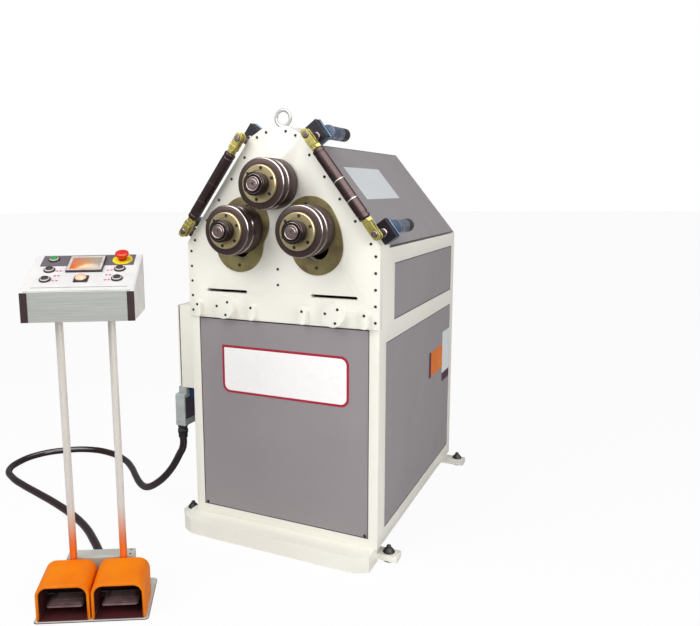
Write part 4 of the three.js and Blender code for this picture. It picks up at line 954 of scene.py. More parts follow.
eye_grey = clouded_finish(
    "eye grey", (206, 204, 202), (176, 173, 170), 0.02, 0.3, 0.1, 0.001, 0.00003, metallic=0.4
)
eye_centre = Vector((0, 0.053, 1.4453))
eye_ring_radius, eye_wire = 0.0255, 0.0055


def lifting_ring():
    shape = bmesh.new()
    wire = bmesh.ops.create_circle(shape, segments=20, radius=eye_wire)["verts"]
    bmesh.ops.translate(shape, verts=wire, vec=(eye_ring_radius, 0, 0))
    turn = Matrix.Rotation(math.pi / 2, 3, "X")
    bmesh.ops.rotate(shape, cent=(eye_ring_radius, 0, 0), matrix=turn, verts=wire)
    bmesh.ops.spin(
        shape, geom=shape.verts[:] + shape.edges[:], cent=(0, 0, 0), axis=(0, 0, 1),
        angle=2 * math.pi, steps=64, use_merge=True,
    )
    bmesh.ops.remove_doubles(shape, verts=shape.verts, dist=1e-6)
    face_outwards(shape)
    return keep(shape, "lifting_ring", Matrix.Translation(eye_centre) @ facing_front)


eye_collar = [
    (0, 1.4143), (0.0118, 1.4143), (0.012, 1.4158), (0.012, 1.4188), (0.0095, 1.4204), (0, 1.4204),
]
mount(lifting_ring(), "frame", eye_grey, "cream_paint", "lifting_eye")
mount(turned("lifting_eye_collar", eye_collar, upright(0, eye_centre.y)), "frame", eye_grey, "cream_paint")

# Front plate's fixings: hexagon-socket screws with dark heads run up both sides and slopes and
# down the middle. Three more hold each round boss and one holds each small lug.
plate_screw = (0.0046, 0.0022)
screws_in_row = 5
edge_x, edge_low, edge_pitch = 0.336, 0.806, 0.0515
slope_start, slope_run = Vector((0.320, 0, 1.050)), Vector((-0.204, 0, 0.273))
crown_screws = ((0.0685, 1.385), (0.035, 1.399))
boss_x, boss_z, boss_face, boss_circle = 0.201, 0.824, -0.020, 0.026
lug_level, lug_places = 0.830, (0.094, 0.306)
plate_screws = []
for side in (-1, 1):
    plate_screws += [(side * edge_x, 0, edge_low + step * edge_pitch) for step in range(screws_in_row)]
    for step in range(screws_in_row):
        spot = slope_start + slope_run * step / (screws_in_row - 1)
        plate_screws.append((side * spot.x, 0, spot.z))
    plate_screws += [(side * x, 0, z) for x, z in crown_screws]
    for angle in (math.radians(turn) for turn in (50, 170, 290)):
        x, z = boss_circle * math.cos(angle), boss_circle * math.sin(angle)
        plate_screws.append((side * boss_x + x, boss_face, boss_z + z))
    plate_screws += [(side * x, boss_face, lug_level) for x in lug_places]
plate_screws += [(0, 0, z) for z in (0.909, 0.961)]
screws("front_plate_screws", plate_screws, plate_screw, facing_front)

# Slot covers: kidney-shaped steel plates with yellow zinc, round the curved slots that the lower
# shafts move in. The sweep follows the arms' pivot, and a screw holds each end.
zinc_yellow = clouded_finish(
    "yellow zinc", (158, 150, 100), (118, 100, 76), 0.06, 0.36, 0.14, 0.0008, 0.00002, metallic=0.6
)
pivot_level = 1.030
arm_radius = 0.141
arm_rest = math.radians(25.8)
arm_raise, arm_lower = math.radians(7.5), math.radians(23)
slot_half, cover_half, cover_thick = 0.042, 0.090, 0.005


def kidney_cover(side, label):
    """A flat bar bent all the way round the slot: two long bends and two half turns."""
    shape = bmesh.new()
    low_angle, high_angle = arm_rest - arm_lower, arm_rest + arm_raise
    sweep = high_angle - low_angle
    low_way = Vector((math.cos(low_angle), math.sin(low_angle), 0))
    low_end = low_way * arm_radius
    high_end = Vector((math.cos(high_angle), math.sin(high_angle), 0)) * arm_radius
    inner, outer = low_way * (arm_radius + slot_half), low_way * (arm_radius + cover_half)
    lift = Vector((0, 0, cover_thick))
    section = [shape.verts.new(p) for p in (inner, outer, outer + lift, inner + lift)]
    edges = [shape.edges.new((section[i], section[(i + 1) % 4])) for i in range(4)]
    geom = section + edges
    bends = (
        ((0, 0, 0), sweep, 12), (high_end, math.pi, 28), ((0, 0, 0), -sweep, 12), (low_end, math.pi, 28),
    )
    for centre, angle, steps in bends:
        geom = bmesh.ops.spin(
            shape, geom=geom, cent=centre, axis=(0, 0, 1), angle=angle, steps=steps
        )["geom_last"]
    bmesh.ops.remove_doubles(shape, verts=shape.verts, dist=1e-5)
    if side < 0:
        bmesh.ops.scale(shape, vec=(-1, 1, 1), verts=shape.verts)
    face_outwards(shape)
    place = Matrix.Translation((0, -0.0003, pivot_level)) @ facing_front
    return ease(keep(shape, label + "_slot_cover_plate", place), 0.0008)


cover_screw = (0.0055, 0.002)
cover_face, cover_middle = -0.0053, (slot_half + cover_half) / 2
cover_screws = []
for side, label in sides:
    mount(kidney_cover(side, label), "frame", zinc_yellow, "zinc_yellow", label + "_slot_cover")
    for angle, out in ((arm_rest - arm_lower, math.radians(-90)), (arm_rest + arm_raise, math.radians(100))):
        x = arm_radius * math.cos(angle) + cover_middle * math.cos(out)
        z = arm_radius * math.sin(angle) + cover_middle * math.sin(out)
        cover_screws.append((side * x, cover_face, pivot_level + z))
screws("slot_cover_screws", cover_screws, cover_screw, facing_front)


# Roll sets: three rings of oiled dark steel on a shaft, clamped by a yellow zinc flange ring with
# six screws and a black slotted nut. Fine turning marks run round every face. The chamfers and the
# nut's bevel are bright steel: rubbed edges, and a painted highlight too.
def make_turning():
    """Rings left by the lathe, counted over the radius and along the axis."""
    own = {"Radius": "Float", "Reach": "Float", "Rings per Metre": "Float"}
    group, given = new_effect("turning marks", own)
    both = add_node(group, "Math", {0: given["Radius"], 1: given["Reach"]}, operation="ADD").outputs[0]
    count = add_node(group, "Math", {0: both, 1: given["Rings per Metre"]}, operation="MULTIPLY").outputs[0]
    rings = add_node(group, "TexNoise", {"W": count, "Scale": 1, "Detail": 3}, noise_dimensions="1D")
    return end_effect(group, given, rings.outputs["Fac"], 0.3, 0.7)


turning = make_turning()


def turned_finish(name, colour, ring_colour, rings, rough, spread, depth, metallic=1.0):
    """A metal with lathe rings, for pieces that carry the turning map."""
    finish, shader = plain_finish(name, rough, metallic)
    marks = add_node(finish.node_tree, "UVMap", {}, uv_map="turning").outputs["UV"]
    split = add_node(finish.node_tree, "SeparateXYZ", {"Vector": marks}).outputs
    own = {"Radius": split["X"], "Reach": split["Y"], "Rings per Metre": rings}
    return lay_effect(finish, shader, turning, colour, ring_colour, rough, spread, depth, own)


roll_steel = turned_finish("roll steel", (86, 70, 68), (62, 50, 49), 900, 0.38, 0.14, 0.00003, metallic=0.6)
rim_steel_highlight = turned_finish("rubbed rim and highlight", (196, 184, 181), (160, 148, 145), 900, 0.17, 0.08, 0.00002)
nut_black = turned_finish("lock nut", (58, 47, 48), (40, 32, 34), 1200, 0.24, 0.12, 0.00003, metallic=0.8)
shaft_bright = turned_finish("shaft end", (196, 180, 178), (140, 122, 118), 1500, 0.24, 0.14, 0.00003)
flange_zinc = turned_finish(
    "flange zinc", (206, 194, 150), (170, 150, 112), 500, 0.3, 0.14, 0.00002, metallic=0.75
)
roll_radius, roll_front, roll_back = 0.0805, -0.108, -0.008
flange_radius, flange_back, flange_front = 0.0585, -0.1083, -0.1203
groove_place = -0.074
top_level = 1.236
lower_x = arm_radius * math.cos(arm_rest)
lower_level = pivot_level + arm_radius * math.sin(arm_rest)
roll_sets = [("top", 0, top_level), ("left", -lower_x, lower_level), ("right", lower_x, lower_level)]
chamfer = 0.003
groove_half, groove_depth = 0.003, 0.0045


def roll_profile():
    """From the bore's front edge, over the face and the rims, to the bore's back."""
    bore, rim = 0.0305, roll_radius - chamfer
    groove_from, groove_to = groove_place - groove_half, groove_place + groove_half
    return [
        (bore, roll_front), (rim, roll_front), (roll_radius, roll_front + chamfer),
        (roll_radius, groove_from - chamfer), (rim, groove_from), (roll_radius - groove_depth, groove_place),
        (rim, groove_to), (roll_radius, groove_to + chamfer), (roll_radius, roll_back - chamfer),
        (rim, roll_back), (bore, roll_back), (bore, roll_front),
    ]


def rims_rubbed_and_highlit(piece):
    """The chamfers are rubbed bright and also carry a painted highlight: they take the piece's second
    finish.
    """
    piece.data.materials.append(rim_steel_highlight)
    for face in piece.data.polygons:
        reach = [piece.data.vertices[i].co.y for i in face.vertices]
        if 0.5 < abs(face.normal.y) < 0.9 and max(reach) - min(reach) < 0.004:
            face.material_index = 1


flange_profile = [
    (0.0345, 0), (flange_radius, 0), (flange_radius, 0.0095), (flange_radius - 0.0025, 0.012),
    (0.0415, 0.012), (0.0405, 0.0105), (0.0345, 0.0105), (0.0345, 0),
]
nut_profile = [
    (0.0225, 0), (0.0325, 0), (0.036, 0.0032), (0.036, 0.0105), (0.0345, 0.0115), (0.0345, 0.0165),
    (0.036, 0.0175), (0.036, 0.0335), (0.0225, 0.0335), (0.0225, 0),
]
bevel_profile = [(0.0224, 0.0042), (0.0290, -0.0003), (0.0300, 0.0003), (0.0228, 0.0052), (0.0224, 0.0042)]
nose_profile = [
    (0, 0.009), (0.002, 0.008), (0.005, 0.0), (0.0135, 0.0), (0.0145, 0.0012), (0.0195, 0.0012),
    (0.0205, 0.0), (0.0212, 0.0), (0.022, 0.001), (0.022, 0.0402), (0.030, 0.0402), (0.030, 0.1523),
    (0.036, 0.1523), (0.036, 0.198), (0.030, 0.198), (0.030, 0.600), (0, 0.600),
]
shaft_tip, nut_front = -0.160, -0.154
flange_screw, flange_screw_circle, first_flange_screw = (0.0054, 0.0014), 0.0485, 20
for label, x, z in roll_sets:
    body = label + "_roll_set"
    rolled = turned(
        label + "_roll_rings", roll_profile(), Matrix.Translation((x, 0, z)) @ facing_back, 128, 0
    )
    mount(rolled, body, roll_steel, "roll_steel", label + "_roll")
    rims_rubbed_and_highlit(rolled)
    place = Matrix.Translation((x, flange_back, z)) @ facing_front
    flange = turned(label + "_flange_ring", flange_profile, place, 96, 0.0005)
    mount(flange, body, flange_zinc, "zinc_yellow", label + "_retainer")
    place = Matrix.Translation((x, nut_front, z)) @ facing_back
    mount(turned(label + "_lock_nut", nut_profile, place, 96, 0.0004), body, nut_black, "black_steel")
    # The nut's bevel ring is bright steel: a rubbed edge and a painted highlight.
    mount(turned(label + "_nut_bevel", bevel_profile, place, 96, 0), body, rim_steel_highlight, "bright_steel")
    place = Matrix.Translation((x, shaft_tip, z)) @ facing_back
    shaft = turned(label + "_shaft_steel", nose_profile, place, 96, 0.0003)
    mount(shaft, body, shaft_bright, "bright_steel", label + "_shaft")
    heads = []
    for angle in (math.radians(first_flange_screw + 60 * step) for step in range(6)):
        across, up = flange_screw_circle * math.cos(angle), flange_screw_circle * math.sin(angle)
        heads.append((x + across, flange_front, z + up))
    screws(label + "_flange_screws", heads, flange_screw, facing_front, body)

# Side-guide struts: a dark turnbuckle sleeve lies along each slope between two yellow zinc forks.
# Each fork holds a steel stub that stands out of a dark block, and a round bar goes back from it.
sleeve_dark = turned_finish(
    "oiled sleeve", (98, 82, 80), (52, 40, 42), 700, 0.22, 0.14, 0.00003, metallic=0.85
)
sleeve_ring_highlight = clouded_finish(
    "sleeve ring highlight", (226, 220, 214), (190, 184, 178), 0.01, 0.25, 0.1, 0.001, 0.00002, 0.6
)
fork_zinc = clouded_finish(
    "fork zinc", (204, 194, 112), (158, 146, 82), 0.02, 0.28, 0.12, 0.001, 0.00002, 0.7
)
stub_steel = clouded_finish(
    "stub steel", (176, 160, 160), (112, 96, 98), 0.014, 0.2, 0.15, 0.001, 0.00002, 0.9
)
guide_block = clouded_finish(
    "guide block", (38, 38, 48), (24, 24, 32), 0.03, 0.3, 0.12, 0.0015, 0.00004, 0.3
)
guide_blue = clouded_finish(
    "guide flange", (130, 160, 186), (96, 124, 150), 0.02, 0.25, 0.12, 0.001, 0.00003, 0.4
)
guide_bar = clouded_finish(
    "guide bar", (146, 156, 178), (100, 110, 134), 0.03, 0.2, 0.1, 0.001, 0.00002, 0.6
)
shoulder = Vector((0.350, 0, 1.043))
crown_slope = Vector((0.096, 0, 1.384))
strut_y, strut_out = -0.023, 0.0185
lower_pin, upper_pin, sleeve_inset = 0.035, 0.409, 0.057
fork_half, fork_half_depth, fork_cheek = 0.013, 0.014, 0.0075
fork_end, fork_throat, fork_yoke = 0.020, 0.026, 0.016
block_half, block_height, block_front, block_rear = 0.034, 0.048, 0.044, 0.090
upper_rise = 0.012
bar_radius, bar_out, bar_rear = 0.022, 0.043, 0.236


def slope_place(side):
    """Local x runs up the slope from the shoulder, y back and z away from the slope."""
    up = (crown_slope - shoulder).normalized()
    up.x *= side
    out = Vector((side * abs(up.z), 0, abs(up.x)))
    turn = Matrix((up, Vector((0, 1, 0)), out)).transposed()
    return Matrix.Translation((side * shoulder.x, 0, shoulder.z)) @ turn.to_4x4()


along_slope = Matrix.Rotation(math.pi / 2, 4, "Y")
sleeve_length = upper_pin - lower_pin - 2 * sleeve_inset
sleeve_profile = [
    (0.0105, 0), (0.0172, 0), (0.019, 0.0018), (0.019, 0.012), (0.0178, 0.0135), (0.0178, 0.0165),
    (0.019, 0.018), (0.019, sleeve_length - 0.018), (0.0178, sleeve_length - 0.0165),
    (0.0178, sleeve_length - 0.0135), (0.019, sleeve_length - 0.012), (0.019, sleeve_length - 0.0018),
    (0.0172, sleeve_length), (0.0105, sleeve_length), (0.0105, 0),
]


def sleeve_ring(name, start, place):
    """A thin raised ring round the sleeve, from which its turns are counted. Its colour is given where it is
    mounted.
    """
    profile = [
        (0.0188, start), (0.0193, start + 0.0003), (0.0193, start + 0.0032), (0.0188, start + 0.0035),
        (0.0188, start),
    ]
    return turned(name, profile, place, 64, 0)


def guide_fork(name, place, pin, way):
    """Two cheeks round the stub, the yoke, and the nut and rod that go to the sleeve."""
    shape = bmesh.new()
    low, high = strut_out - fork_half, strut_out + fork_half
    front, back = strut_y - fork_half_depth, strut_y + fork_half_depth

    def along(a, b):
        return sorted((pin + way * a, pin + way * b))

    start, end = along(-fork_end, fork_throat)
    for base in (front, back - fork_cheek):
        cheek = block(shape, (start, base, low), (end, base + fork_cheek, high))
        tips = [
            e for e in edges_along(shape, 1, cheek) if abs(e.verts[0].co.x - (pin - way * fork_end)) < 1e-6
        ]
        round_edges(shape, tips, 0.012, 8)
    start, end = along(fork_throat, fork_throat + fork_yoke)
    block(shape, (start, front, low), (end, back, high))
    body = ease(keep(shape, name, place), 0.0012, 3)
    spin_place = place @ Matrix.Translation((0, strut_y, strut_out)) @ along_slope
    rod_from, rod_to = along(fork_throat + fork_yoke - 0.002, sleeve_inset + 0.034)
    rod_profile = [(0, rod_from), (0.010, rod_from), (0.010, rod_to), (0, rod_to)]
    rod = turned(name + "_rod", rod_profile, spin_place, 32, 0.0004)
    nut_from, nut_to = along(fork_throat + fork_yoke + 0.0003, sleeve_inset - 0.0025)
    nut_ring = [
        (0.0101, nut_from), (0.0155, nut_from), (0.0165, nut_from + 0.001), (0.0165, nut_to - 0.001),
        (0.0155, nut_to), (0.0101, nut_to), (0.0101, nut_from),
    ]
    nut = turned(name + "_nut", nut_ring, spin_place, 6, 0.0008)
    return body, rod, nut


def stub_through(name, place, pin):
    """The round stub from the block through the fork, with a head in front of it."""
    front = strut_y - fork_half_depth
    profile = [
        (0, front - 0.003), (0.008, front - 0.003), (0.009, front - 0.002), (0.009, front),
        (0.011, front), (0.011, block_front - 0.006), (0.0135, block_front - 0.004),
        (0.0135, block_front + 0.002), (0, block_front + 0.002),
    ]
    lathe_place = place @ Matrix.Translation((pin, 0, strut_out)) @ facing_back
    return turned(name, profile, lathe_place, 48, 0.0004)


def guide_slab(name, place, centre, front, back, grow):
    """One layer of the block that slides on the slope."""
    low = (centre - block_half - grow, front, 0.0003)
    high = (centre + block_half + grow, back, block_height + grow)
    return slab(name, low, high, 0.0014, place, edge_steps=3)


bar_length = bar_rear - block_rear
cap_from = bar_length - 0.048
bar_profile = [
    (0, 0), (0.0245, 0), (0.0245, 0.006), (bar_radius, 0.009), (bar_radius, cap_from - 0.0005),
    (0.0205, cap_from), (0, cap_from),
]
cap_end_profile = [
    (0, cap_from), (0.0202, cap_from), (bar_radius, cap_from + 0.0012), (bar_radius, bar_length - 0.004),
    (0.0205, bar_length - 0.001), (0.018, bar_length), (0.011, bar_length), (0.0095, bar_length - 0.004),
    (0, bar_length - 0.004),
]
line_places = (0.068, 0.140)
grub_screw, grub_y, grub_out = (0.005, 0.002), strut_y + 0.024, strut_out + 0.011
guide_layers = (
    ("block", block_front, 0.0745, 0, guide_block), ("flange", 0.075, 0.0855, 0.001, guide_blue),
    ("clamp", 0.086, block_rear, 0, guide_block),
)
for side, label in sides:
    place = slope_place(side)
    sleeve_start = place @ Matrix.Translation((lower_pin + sleeve_inset, strut_y, strut_out)) @ along_slope
    body = label + "_sleeve"
    sleeve = turned(body, sleeve_profile, sleeve_start, 64, 0.0004)
    mount(sleeve, body, sleeve_dark, "black_steel", label + "_strut_sleeve")
    # The rings on the right sleeve are light as a painted highlight from the light above right; the left
    # sleeve's rings take the dark roll steel.
    for row, start in enumerate(line_places):
        ring = sleeve_ring(f"{body}_line_{row}", start, sleeve_start)
        mount(ring, body, sleeve_ring_highlight if side > 0 else roll_steel, "bright_steel")
    facing_out = place.to_3x3().to_4x4()
    for height, pin, way, rise in (("lower", lower_pin, 1, 0), ("upper", upper_pin, -1, upper_rise)):
        stem = f"{label}_{height}"
        fork, rod, nut = guide_fork(stem + "_fork", place, pin, way)
        mount(fork, "frame", fork_zinc, "zinc_yellow", stem + "_guide_arm")
        mount(rod, "frame", screw_dark, "black_steel")
        mount(nut, "frame", fork_zinc, "zinc_yellow")
        mount(stub_through(stem + "_stub", place, pin), "frame", stub_steel, "bright_steel")
        screws(stem + "_grub_screw", [place @ Vector((pin, grub_y, grub_out))], grub_screw, facing_out)
        for layer, front, back, grow, finish in guide_layers:
            piece = guide_slab(f"{stem}_{layer}", place, pin + rise, front, back, grow)
            mount(piece, "frame", finish, "hydraulic_blue")
        bar_place = place @ Matrix.Translation((pin, block_rear, bar_out)) @ facing_back
        bar = turned(stem + "_bar", bar_profile, bar_place, 64, 0.0005)
        mount(bar, "frame", guide_bar, "hydraulic_blue")
        cap = turned(stem + "_bar_cap", cap_end_profile, bar_place, 64, 0.0005)
        mount(cap, "frame", gland_black, "black_plastic")

# Sheet panels: mid-grey textured covers, each let into its opening in the frame. The roof covers
# and the rear cover are screwed on, and the rear one has pressed louvres for the oil's heat.
panel_grey = clouded_finish(
    "panel grey", (149, 143, 146), (144, 138, 141), 0.3, 0.5, 0.1, 0.0012, 0.00005
)
panel_nodes = [
    "front_panel", "left_lower_panel", "right_lower_panel", "left_upper_panel", "right_upper_panel",
    "left_slope_cover", "right_slope_cover", "rear_cover",
]
# Dark band at each sheet's edge: a seal, and painted shade in the recess round it.
panel_seal_and_shade = clouded_finish("panel seal and shade", (52, 44, 44), (40, 34, 34), 0.05, 0.6, 0.1, 0.001, 0.00003)
seal_width = 0.0032


def outer_face(shape):
    """The broad face that looks away from the middle of the cabinet."""
    middle = Vector((0, 0.45, 0.75))
    largest = max(face.calc_area() for face in shape.faces)
    broad = [face for face in shape.faces if face.calc_area() > largest * 0.9]
    return max(broad, key=lambda face: face.normal.dot(face.calc_center_median() - middle))


def seal_and_shade_edge(sheet):
    """A thin dark band along the edge of the sheet's outer face: a seal line, and painted shade in the
    recess round the sheet.
    """
    sheet.data.materials.append(panel_seal_and_shade)
    shape = bmesh.new()
    shape.from_mesh(sheet.data)
    rim = bmesh.ops.inset_region(
        shape, faces=[outer_face(shape)], thickness=seal_width, use_even_offset=True
    )["faces"]
    for face in rim:
        face.material_index = 1
    shape.to_mesh(sheet.data)
    shape.free()


for node in panel_nodes:
    sheet = mount(painted_copy(node, node + "_sheet", 0.0006), "frame", panel_grey, "grey_paint", node)
    seal_and_shade_edge(sheet)

rear_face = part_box("rear_cover")[1].y
louvre_half, louvre_height, louvre_rise = 0.085, 0.011, 0.006
louvre_column, louvre_rows, louvre_low, louvre_pitch = 0.16, 8, 0.30, 0.032


def louvres():
    """Rows of raised lips, each closed above and open below."""
    shape = bmesh.new()
    for column in (-louvre_column, louvre_column):
        for row in range(louvre_rows):
            z = louvre_low + row * louvre_pitch
            lip = block(
                shape, (column - louvre_half, rear_face - 0.001, z),
                (column + louvre_half, rear_face + louvre_rise, z + louvre_height),
            )
            ends = [v for v in lip if v.co.z > z + 0.001 and v.co.y > rear_face]
            bmesh.ops.translate(shape, verts=ends, vec=(0, -louvre_rise * 0.85, 0))
    return ease(keep(shape, "rear_louvres"), 0.001)


mount(louvres(), "frame", panel_grey, "grey_paint")
rear_screw, rear_edge, rear_levels = (0.0048, 0.0022), 0.322, (0.09, 0.28, 0.47, 0.66, 0.85, 1.0)
rear_screws = [(side * rear_edge, rear_face, z) for side in (-1, 1) for z in rear_levels]
screws("rear_cover_screws", rear_screws, rear_screw, facing_back)

# Name plate: a thin enamelled plate with rounded corners and a crimson edge line on the front
# panel. It is left blank.
plate_white = clouded_finish(
    "plate white", (252, 251, 250), (250, 249, 248), 0.1, 0.25, 0.06, 0.002, 0.00001, coat=0.3
)
plate_crimson = clouded_finish(
    "plate crimson", (176, 20, 56), (164, 14, 48), 0.05, 0.28, 0.06, 0.002, 0.00001, coat=0.3
)
panel_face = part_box("front_panel")[0].y


def name_plate(name, left, right, low, high, front, back, corner):
    """Three corners are rounded wide, and the upper left one hardly."""
    shape = bmesh.new()
    block(shape, (left, front, low), (right, back, high))

    def corner_edges(upper_left):
        return [
            e for e in edges_along(shape, 1)
            if (e.verts[0].co.x < left + 1e-6 and e.verts[0].co.z > high - 1e-6) == upper_left
        ]

    round_edges(shape, corner_edges(False), corner, 8)
    round_edges(shape, corner_edges(True), corner / 6, 4)
    return ease(keep(shape, name), 0.0003)


plate_left, plate_right, plate_low, plate_high = -0.2255, 0.247, 0.520, 0.689
for order, (name, margin, finish) in enumerate((
    ("name_plate_edge", 0.0, plate_crimson), ("name_plate_field", 0.0085, plate_white),
)):
    plate = name_plate(
        name, plate_left + margin, plate_right - margin, plate_low + margin, plate_high - margin,
        panel_face - 0.0006 - 0.0003 * order, panel_face + 0.0003, 0.028 - margin * 0.8,
    )
    mount(plate, "frame", finish, "cream_paint")
panel_screw, panel_screw_x, panel_screw_level = (0.0055, 0.0022), 0.303, 0.0945
panel_screws = [(side * panel_screw_x, panel_face, panel_screw_level) for side in (-1, 1)]
screws("front_panel_screws", panel_screws, panel_screw, facing_front)

# Data plates: an orange and a white enamelled plate near the back of the right lower panel, and a
# white one on the right slope cover, all left blank.
plate_orange = clouded_finish(
    "plate orange", (236, 126, 24), (228, 114, 16), 0.1, 0.32, 0.06, 0.002, 0.00001
)
plate_dark = clouded_finish("plate dark band", (84, 40, 62), (72, 34, 54), 0.05, 0.35, 0.06, 0.002, 0.00001)
plate_cool = clouded_finish(
    "plate cool white", (232, 236, 238), (226, 231, 234), 0.1, 0.3, 0.06, 0.002, 0.00001
)
side_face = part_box("right_lower_panel")[1].x
side_plates = [
    ("side_orange_plate", 0.640, 0.815, 0.480, 0.578, plate_orange),
    ("side_dark_edge", 0.612, 0.639, 0.478, 0.580, plate_dark),
    ("side_white_plate", 0.817, 0.930, 0.452, 0.628, plate_cool),
    ("side_lower_band", 0.817, 0.930, 0.416, 0.4515, plate_dark),
]
for name, front, back, low, high, finish in side_plates:
    plate = slab(name, (side_face - 0.0003, front, low), (side_face + 0.0008, back, high), 0.0003)
    mount(plate, "frame", finish, "cream_paint")


def cover_plate(sheet):
    """A thin plate laid on the outer face of the sloping sheet."""
    source = bmesh.new()
    source.from_mesh(sheet.data)
    face = outer_face(source)
    out, middle = face.normal.copy(), face.calc_center_median()
    source.free()
    down = Vector((out.z, 0, -out.x))
    centre = Vector((0.189, 0.386, 1.2364))
    centre -= out * (centre - middle).dot(out)
    turn = Matrix((down, Vector((0, 1, 0)), out)).transposed().to_4x4()
    half_width, half_length = 0.0690, 0.1760
    low, high = (-half_width, -half_length, -0.0004), (half_width, half_length, 0.0009)
    return slab("slope_cover_plate", low, high, 0.0003, Matrix.Translation(centre) @ turn)


mount(cover_plate(bpy.data.objects["right_slope_cover_sheet"]), "frame", plate_cool, "cream_paint")

# Levelling bolts: a black threaded stem on a round pad, with a tapered nut that bears on the tab.
thread_black = clouded_finish(
    "levelling black", (40, 37, 38), (58, 54, 54), 0.01, 0.4, 0.15, 0.001, 0.00004, metallic=0.6
)
stem_profile = [(0, 0), (0.0195, 0), (0.02, 0.001), (0.02, 0.0045), (0.0165, 0.006), (0.008, 0.0065)]
thread_from, thread_pitch, thread_turns = 0.0075, 0.0018, 11
for turn in range(thread_turns):
    start = thread_from + turn * thread_pitch
    stem_profile += [(0.0081, start), (0.0073, start + thread_pitch / 2)]
stem_profile += [(0.008, 0.0283), (0.0190, 0.0283), (0.0195, 0.0300), (0.0192, 0.0323), (0.0137, 0.0403)]
stem_profile += [(0.0090, 0.0440), (0.0072, 0.0505), (0.0060, 0.0523), (0, 0.0523)]
for end in ("front", "rear"):
    for side, label in sides:
        node = f"{end}_{label}_levelling_bolt"
        low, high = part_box(node)
        stem = turned(
            node + "_steel", stem_profile, upright((low.x + high.x) / 2, (low.y + high.y) / 2), 48,
            0.0003,
        )
        mount(stem, "frame", thread_black, "black_steel", node)

# Electric cabinet: a folded steel box on the left side with a flat door, hinged at the back and
# closed by two quarter-turn locks. A black rubber seal shows as the line between them.
seal_black = clouded_finish("door seal", (22, 21, 22), (32, 30, 31), 0.02, 0.6, 0.1, 0.001, 0.00004)
door_low, door_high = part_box("electric_door")
door_skin, seal_inset, seal_band = 0.0055, 0.008, 0.010


def door_seal():
    shape = bmesh.new()
    block(
        shape, (door_low.x + door_skin, door_low.y + seal_inset, door_low.z + seal_inset),
        (door_high.x, door_high.y - seal_inset, door_high.z - seal_inset),
    )
    faces = [f for f in shape.faces if abs(f.normal.x) > 0.9]
    bmesh.ops.inset_individual(shape, faces=faces, thickness=seal_band, use_even_offset=True)
    bmesh.ops.bridge_loops(shape, edges=[e for f in faces for e in f.edges])
    bmesh.ops.delete(shape, geom=faces, context="FACES_ONLY")
    face_outwards(shape)
    return ease(keep(shape, "electric_door_seal"), 0.0008)


lock_profile = [
    (0, 0.0015), (0.004, 0.0015), (0.0045, 0.004), (0.011, 0.004), (0.0125, 0.0025), (0.0125, -0.001),
    (0, -0.001),
]
facing_left = Matrix.Rotation(-math.pi / 2, 4, "Y")
leaf = slab(
    "electric_door_leaf", door_low, (door_low.x + door_skin, door_high.y, door_high.z), 0.0015, edge_steps=3
)
mount(leaf, "electric_door", cream_paint, "cream_paint", "electric_door")
mount(door_seal(), "electric_door", seal_black, "black_plastic")
lock_inset, lock_levels = 0.028, (0.575, 0.72)
for row, z in enumerate(lock_levels):
    place = Matrix.Translation((door_low.x, door_low.y + lock_inset, z)) @ facing_left
    lock = turned(f"door_lock_{row}", lock_profile, place, 48, 0.0004)
    mount(lock, "electric_door", screw_dark, "black_steel")
cabinet_shell = painted_copy("electric_cabinet", "electric_cabinet_shell", 0.001)
mount(cabinet_shell, "frame", cream_paint, "cream_paint", "electric_cabinet")

# Inner works: grey cast iron for the bearing block, arms and drives, blue enamel for the cylinders
# and the hydraulic unit, and chromed rams.
cast_grey = clouded_finish(
    "grey casting", (112, 116, 120), (96, 100, 104), 0.04, 0.55, 0.15, 0.002, 0.0002, metallic=0.2
)
pump_blue = clouded_finish(
    "blue enamel", (62, 88, 118), (50, 74, 102), 0.1, 0.35, 0.1, 0.002, 0.00006, coat=0.2
)
chrome = clouded_finish(
    "chromed ram", (222, 224, 226), (206, 208, 212), 0.05, 0.08, 0.06, 0.002, 0.00001, metallic=1.0
)
inner_works = [
    ("roll_block", "frame", cast_grey, "cast_grey"), ("left_swing_arm", "left_arm", cast_grey, "cast_grey"),
    ("right_swing_arm", "right_arm", cast_grey, "cast_grey"), ("top_drive", "frame", cast_grey, "cast_grey"),
    ("left_drive", "left_arm", cast_grey, "cast_grey"), ("right_drive", "right_arm", cast_grey, "cast_grey"),
    ("left_cylinder", "frame", pump_blue, "hydraulic_blue"),
    ("right_cylinder", "frame", pump_blue, "hydraulic_blue"),
    ("hydraulic_unit", "frame", pump_blue, "hydraulic_blue"),
    ("left_ram", "left_ram", chrome, "bright_steel"), ("right_ram", "right_ram", chrome, "bright_steel"),
]
for node, body, finish, slot in inner_works:
    mount(painted_copy(node, node + "_works", 0.0015), body, finish, slot, node)


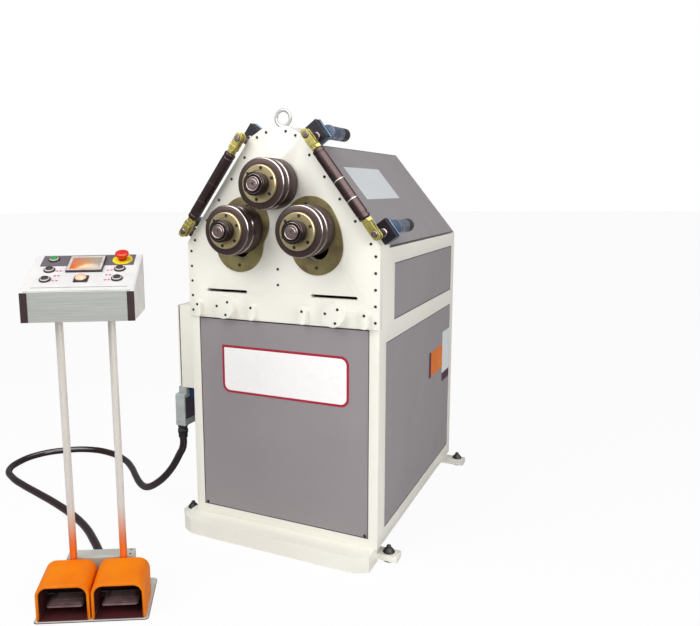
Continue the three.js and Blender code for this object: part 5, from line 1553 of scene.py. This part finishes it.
# Studio: a plain pale floor with no edge in sight, two large soft lamps in front and one above,
# and a white surround that shows in the metal.
def studio_floor():
    shape = bmesh.new()
    bmesh.ops.create_grid(shape, x_segments=1, y_segments=1, size=40)
    floor = keep(shape, "studio_floor")
    finish, shader = plain_finish("studio floor", 0.9)
    shader.inputs["Specular IOR Level"].default_value = 0
    tree = finish.node_tree
    ray = add_node(tree, "LightPath", {}).outputs
    pale, dim = (0.86, 0.86, 0.86, 1), (0.32, 0.31, 0.31, 1)
    tone = add_node(tree, "Mix", {"Factor": ray["Is Glossy Ray"], "A": pale, "B": dim}, data_type="RGBA")
    tree.links.new(tone.outputs["Result"], shader.inputs["Base Color"])
    glow = add_node(tree, "Emission", {}).outputs["Emission"]
    share = add_node(tree, "Math", {0: ray["Is Camera Ray"], 1: 0.93}, operation="MULTIPLY").outputs[0]
    mix = add_node(tree, "MixShader", {"Fac": share, 1: shader.outputs["BSDF"], 2: glow})
    tree.links.new(mix.outputs["Shader"], tree.nodes["Material Output"].inputs["Surface"])
    floor.data.materials.append(finish)


def soft_lamp(name, place, aim, width, height, power):
    light = bpy.data.lights.new(name, "AREA")
    light.shape = "RECTANGLE"
    light.size = width
    light.size_y = height
    light.energy = power
    lamp = bpy.data.objects.new(name, light)
    bpy.context.scene.collection.objects.link(lamp)
    lamp.location = place
    lamp.rotation_euler = (Vector(aim) - Vector(place)).to_track_quat("-Z", "Y").to_euler()


def white_surround():
    """White to the eye, and in the metal bright above and to the right but dim elsewhere."""
    world = bpy.data.worlds.new("studio")
    bpy.context.scene.world = world
    world.use_nodes = True
    tree = world.node_tree
    white = (1, 1, 1, 1)
    ambient = tree.nodes["Background"]
    ambient.inputs["Color"].default_value = white
    ambient.inputs["Strength"].default_value = 0.5
    way = add_node(tree, "TexCoord", {}).outputs["Generated"]
    facing = add_node(tree, "VectorMath", {0: way, 1: (0.50, -0.34, 0.80)}, operation="DOT_PRODUCT")
    span = {"From Min": 0.45, "From Max": 0.94, "To Min": 0.24, "To Max": 4.2}
    fall = add_node(
        tree, "MapRange", {"Value": facing.outputs["Value"], **span}, interpolation_type="SMOOTHSTEP"
    )
    gleam = add_node(tree, "Background", {"Color": white, "Strength": fall.outputs["Result"]}).outputs[0]
    seen = add_node(tree, "Background", {"Color": white}).outputs[0]
    ray = add_node(tree, "LightPath", {}).outputs
    mirrored = add_node(tree, "MixShader", {"Fac": ray["Is Glossy Ray"], 1: ambient.outputs[0], 2: gleam})
    direct = add_node(tree, "MixShader", {"Fac": ray["Is Camera Ray"], 1: mirrored.outputs[0], 2: seen})
    tree.links.new(direct.outputs[0], tree.nodes["World Output"].inputs["Surface"])


studio_floor()
white_surround()
soft_lamp("key lamp", (-1.5, -2.8, 2.9), (0, 0, 0.85), 2.0, 2.0, 49)
soft_lamp("fill lamp", (3.0, -1.4, 2.0), (0, 0.3, 0.8), 2.4, 2.0, 46)
soft_lamp("top lamp", (-0.6, -1.4, 3.5), (0, -0.1, 0.2), 2.0, 2.0, 32)
bpy.context.scene.view_settings.view_transform = "Standard"
